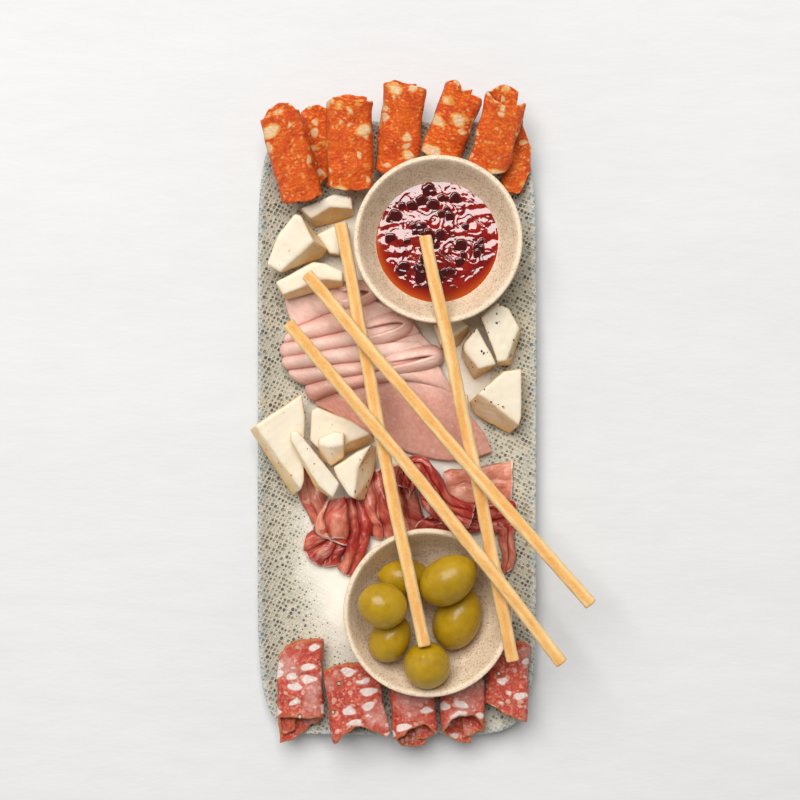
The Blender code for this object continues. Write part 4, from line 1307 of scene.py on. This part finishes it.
# node, one end, the other end, height of the middle line at each end, sideways bow
BREADSTICKS = [
    ("breadstick_low_left", (-31.6, 116.8), (15.6, -121.6), 31.5, 51.4, 1.2),
    ("breadstick_low_right", (15.5, 107.1), (64.2, -128.9), 45.9, 45.9, -1.0),
    ("breadstick_high_left", (-60.5, 58.8), (90.8, -128.8), 46.8, 56.0, -1.6),
    ("breadstick_high_right", (-50.6, 86.3), (106.2, -95.8), 40.8, 62.2, 1.0),
]


def make_breadstick(node, start, end, low, high, bow, seed):
    """A baked stick, rounded square in section, that swells and wanders a little and is cut at its ends."""
    a, b = np.array([*start, low]), np.array([*end, high])
    along = (b - a) / np.linalg.norm(b - a)
    side = np.array([along[1], -along[0], 0.0]) / math.hypot(*along[:2])
    up = np.cross(side, along)
    up *= np.sign(up[2])
    share = np.linspace(-1, 1, STICK_ROWS)
    share = np.sign(share) * (1 - (1 - np.abs(share)) ** 1.25)
    centre = (a + b) / 2 + share[:, None] * along * STICK_LENGTH / 2
    distance = share * STICK_LENGTH / 2
    walk = on_line(distance)
    centre = centre + side * (bow * (1 - share**2) + 0.35 * ripple(walk, 60.0, seed))[:, None]
    angle = np.linspace(0, math.tau, STICK_SIDES, endpoint=False)
    box = np.abs(np.cos(angle)) ** SQUARENESS + np.abs(np.sin(angle)) ** SQUARENESS
    box = box ** (-1 / SQUARENESS)
    close = np.clip((1 - np.abs(share)) * STICK_LENGTH / 2 / 1.1, 0, 1)
    reach = STICK_WIDTH / 2 * (1 + 0.03 * ripple(walk, 40.0, seed + 1))
    reach = reach * (0.72 + 0.28 * np.sqrt(1 - (1 - close) ** 2))
    u = reach[:, None] * box * np.cos(angle)
    v = reach[:, None] * box * np.sin(angle) * FLATTENING
    points = centre[:, None] + side * u[..., None] + up * v[..., None]
    normal = side * np.cos(angle)[:, None] + up * np.sin(angle)[:, None]
    dents = 0.08 * ripple(points, 9.0, seed + 2) + 0.05 * ripple(points, 2.4, seed + 3)
    points = points + normal * dents[..., None]
    along_flat = np.broadcast_to(distance[:, None], u.shape)
    flat = np.stack([reach[:, None] * angle, along_flat, np.full_like(u, 71.0 * seed)], -1).reshape(-1, 3)
    drift = 0.35 * ripple(walk, 80.0, seed + 5)
    middle = np.clip(1.15 - np.abs(u / reach[:, None] - drift[:, None]) * 1.25, 0, 1)
    rise = (np.clip(np.sin(angle) * 2.0, 0, 1) * middle).ravel()
    faces = spin_faces(STICK_ROWS, STICK_SIDES)
    return piece(node + "_crust", "breadstick", settled(points, node), faces, flat, rise, [node])


# ---------------------------------------------------------------- scattered things


def crumb(draw, size, flatness):
    """Points and faces of one small irregular grain."""
    grain = bmesh.new()
    bmesh.ops.create_icosphere(grain, subdivisions=1, radius=1.0)
    points = np.array([v.co for v in grain.verts])
    faces = np.array([[v.index for v in f.verts] for f in grain.faces])
    grain.free()
    points = points * draw.uniform(0.75, 1.2, size=(len(points), 1)) * size
    return points * np.array([1.0, draw.uniform(0.5, 0.9), flatness]), faces


def surface_spots(hosts, count, draw):
    """Random places on the faces of pieces that look up: (point in millimetres, normal)."""
    found = []
    for host in hosts:
        for face in host.data.polygons:
            if face.normal.z > 0:
                found.append((face.area, face.center / MM, face.normal))
    weight = np.array([f[0] for f in found])
    picks = draw.choice(len(found), count, p=weight / weight.sum(), replace=False)
    return [found[k][1:] for k in picks]


def scatter(name, slot, finish, spots, draw, size, flatness):
    """One piece that holds a grain at each spot, half sunk into what it lies on."""
    points, faces, start = [], [], 0
    for spot, normal in spots:
        grain, sides = crumb(draw, draw.uniform(*size), flatness)
        around = Euler((0, 0, draw.uniform(0, math.tau))).to_matrix()
        spin = normal.to_track_quat("Z", "Y").to_matrix() @ around
        points.append(grain @ np.array(spin).T + np.array(spot))
        faces += (sides + start).tolist()
        start += len(grain)
    return piece(name, slot, np.concatenate(points), faces, finish=finish)


PEPPERCORNS = [
    ("salami_1", 0.5, 0.27),
    ("salami_2", 0.24, 0.74),
    ("salami_2", 0.16, 0.4),
    ("salami_5", 0.3, 0.6),
]
PEPPERCORN_SIDES, PEPPERCORN_RADIUS = 24, 1.4


def make_peppercorns(salami):
    """Cut peppercorns set in the top of the salami, each by its share of its slice's box."""
    points, faces, shown, start = [], [], [], 0
    profile = smooth_line([(0.02, 0.32), (0.8, 0.36), (1.25, 0.42), (1.4, 0.0), (1.0, -0.5), (0.02, -0.6)], 2)
    for node, share_x, share_y in PEPPERCORNS:
        tree = BVHTree.FromObject(salami[node], bpy.context.evaluated_depsgraph_get())
        low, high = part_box(node)
        above = Vector((low.x + (high.x - low.x) * share_x, low.y + (high.y - low.y) * share_y, 0.0))
        above.z = high.z + 0.05
        hit, normal, _, _ = tree.ray_cast(above, Vector((0, 0, -1)))
        spin = np.array(normal.to_track_quat("Z", "Y").to_matrix())
        rings = turn_profile(profile, PEPPERCORN_SIDES)
        rings = rings * (1 + 0.05 * ripple(rings, 1.6, start))[..., None]
        points.append((rings @ spin.T + np.array(hit) / MM).reshape(-1, 3))
        across = np.broadcast_to(profile[:, :1], rings.shape[:2]) / PEPPERCORN_RADIUS / MM
        shown.append(np.stack([across] * 3, -1).reshape(-1, 3))
        faces += [[k + start for k in face] for face in spin_faces(len(profile), PEPPERCORN_SIDES)]
        start += len(points[-1])
    points, shown = np.concatenate(points), np.concatenate(shown)
    return piece("peppercorns", "salami", points, faces, shown, finish="peppercorn")


# ---------------------------------------------------------------- the board

make_plate()
make_bowl("jam_bowl", 11)
make_bowl("olive_bowl", 12)
make_jam()
for order, olive in enumerate(OLIVES):
    make_olive(*olive, seed=order + 1)
for order, row in enumerate(CHORIZO):
    make_roll("chorizo", row, order + 1)
salami_slices = {row[0]: make_roll("salami", row, order + 31) for order, row in enumerate(SALAMI)}
make_peppercorns(salami_slices)
for order, row in enumerate(MORTADELLA):
    make_mortadella(*row, seed=order + 1)
for order, node in enumerate(dict.fromkeys(row[0] for row in RIBBONS)):
    make_prosciutto(node, seed=order + 1)
cheeses = {}
for order, node in enumerate(sorted(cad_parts)):
    if node.startswith("cheese"):
        cheeses[node] = make_cheese(node, 5 * order)
for order, stick in enumerate(BREADSTICKS):
    make_breadstick(*stick, seed=order + 1)

HERBY = ("cheese_left_corner", "cheese_right_small", "cheese_right_slab", "cheese_right_wedge")
draw = np.random.default_rng(8)
herb_spots = surface_spots([cheeses[node] for node in HERBY], 60, draw)
scatter("herb_flecks", "cheese", "herb", herb_spots, draw, (0.3, 1.0), 0.4)
spice_spots = surface_spots(cheeses.values(), 90, draw)
scatter("spice_flakes", "cheese", "spice", spice_spots, draw, (0.25, 0.7), 0.35)

# ---------------------------------------------------------------- table, light and camera

TABLE_HALF = 3.0
CAMERA_PLACE = (0.0017, 0.0159, 1.1)
SENSOR_WIDTH, FOCAL_LENGTH = 36.0, 85.9
SOFTBOX_PLACE, SOFTBOX_SIZE, SOFTBOX_POWER = (-0.5, 1.24, 2.6), 2.0, 108.0

table_mesh = bpy.data.meshes.new("table")
corners = [(x * TABLE_HALF, y * TABLE_HALF, cad_low.z) for x, y in ((-1, -1), (1, -1), (1, 1), (-1, 1))]
table_mesh.from_pydata(corners, [], [(0, 1, 2, 3)])
table_mesh.materials.append(material("White table", table_shader, depth=0.0004))
table = bpy.data.objects.new("table", table_mesh)
bpy.context.scene.collection.objects.link(table)

lamp = bpy.data.lights.new("softbox", "AREA")
lamp.shape, lamp.size, lamp.energy, lamp.color = "SQUARE", SOFTBOX_SIZE, SOFTBOX_POWER, (1.0, 0.985, 0.965)
softbox = bpy.data.objects.new("softbox", lamp)
bpy.context.scene.collection.objects.link(softbox)
softbox.location = SOFTBOX_PLACE
softbox.rotation_euler = (-Vector(SOFTBOX_PLACE)).to_track_quat("-Z", "Y").to_euler()

world = bpy.data.worlds.new("studio")
world.use_nodes = True
sky = Nodes(world.node_tree)
sky_height = sky.split(sky.put("ShaderNodeTexCoord").outputs["Generated"])[2]
world_light = world.node_tree.nodes["Background"]
world_light.inputs["Color"].default_value = (0.97, 0.985, 1.0, 1.0)
sky.feed(world_light.inputs["Strength"], sky.ramp(sky_height, 0.35, 0.95, 0.48, 0.13))
bpy.context.scene.world = world
bpy.context.scene.view_settings.view_transform = "Standard"

lens = bpy.data.cameras.new("camera")
lens.sensor_width, lens.lens = SENSOR_WIDTH, FOCAL_LENGTH
camera = bpy.data.objects.new("camera", lens)
camera.location = CAMERA_PLACE
bpy.context.scene.collection.objects.link(camera)
bpy.context.scene.camera = camera
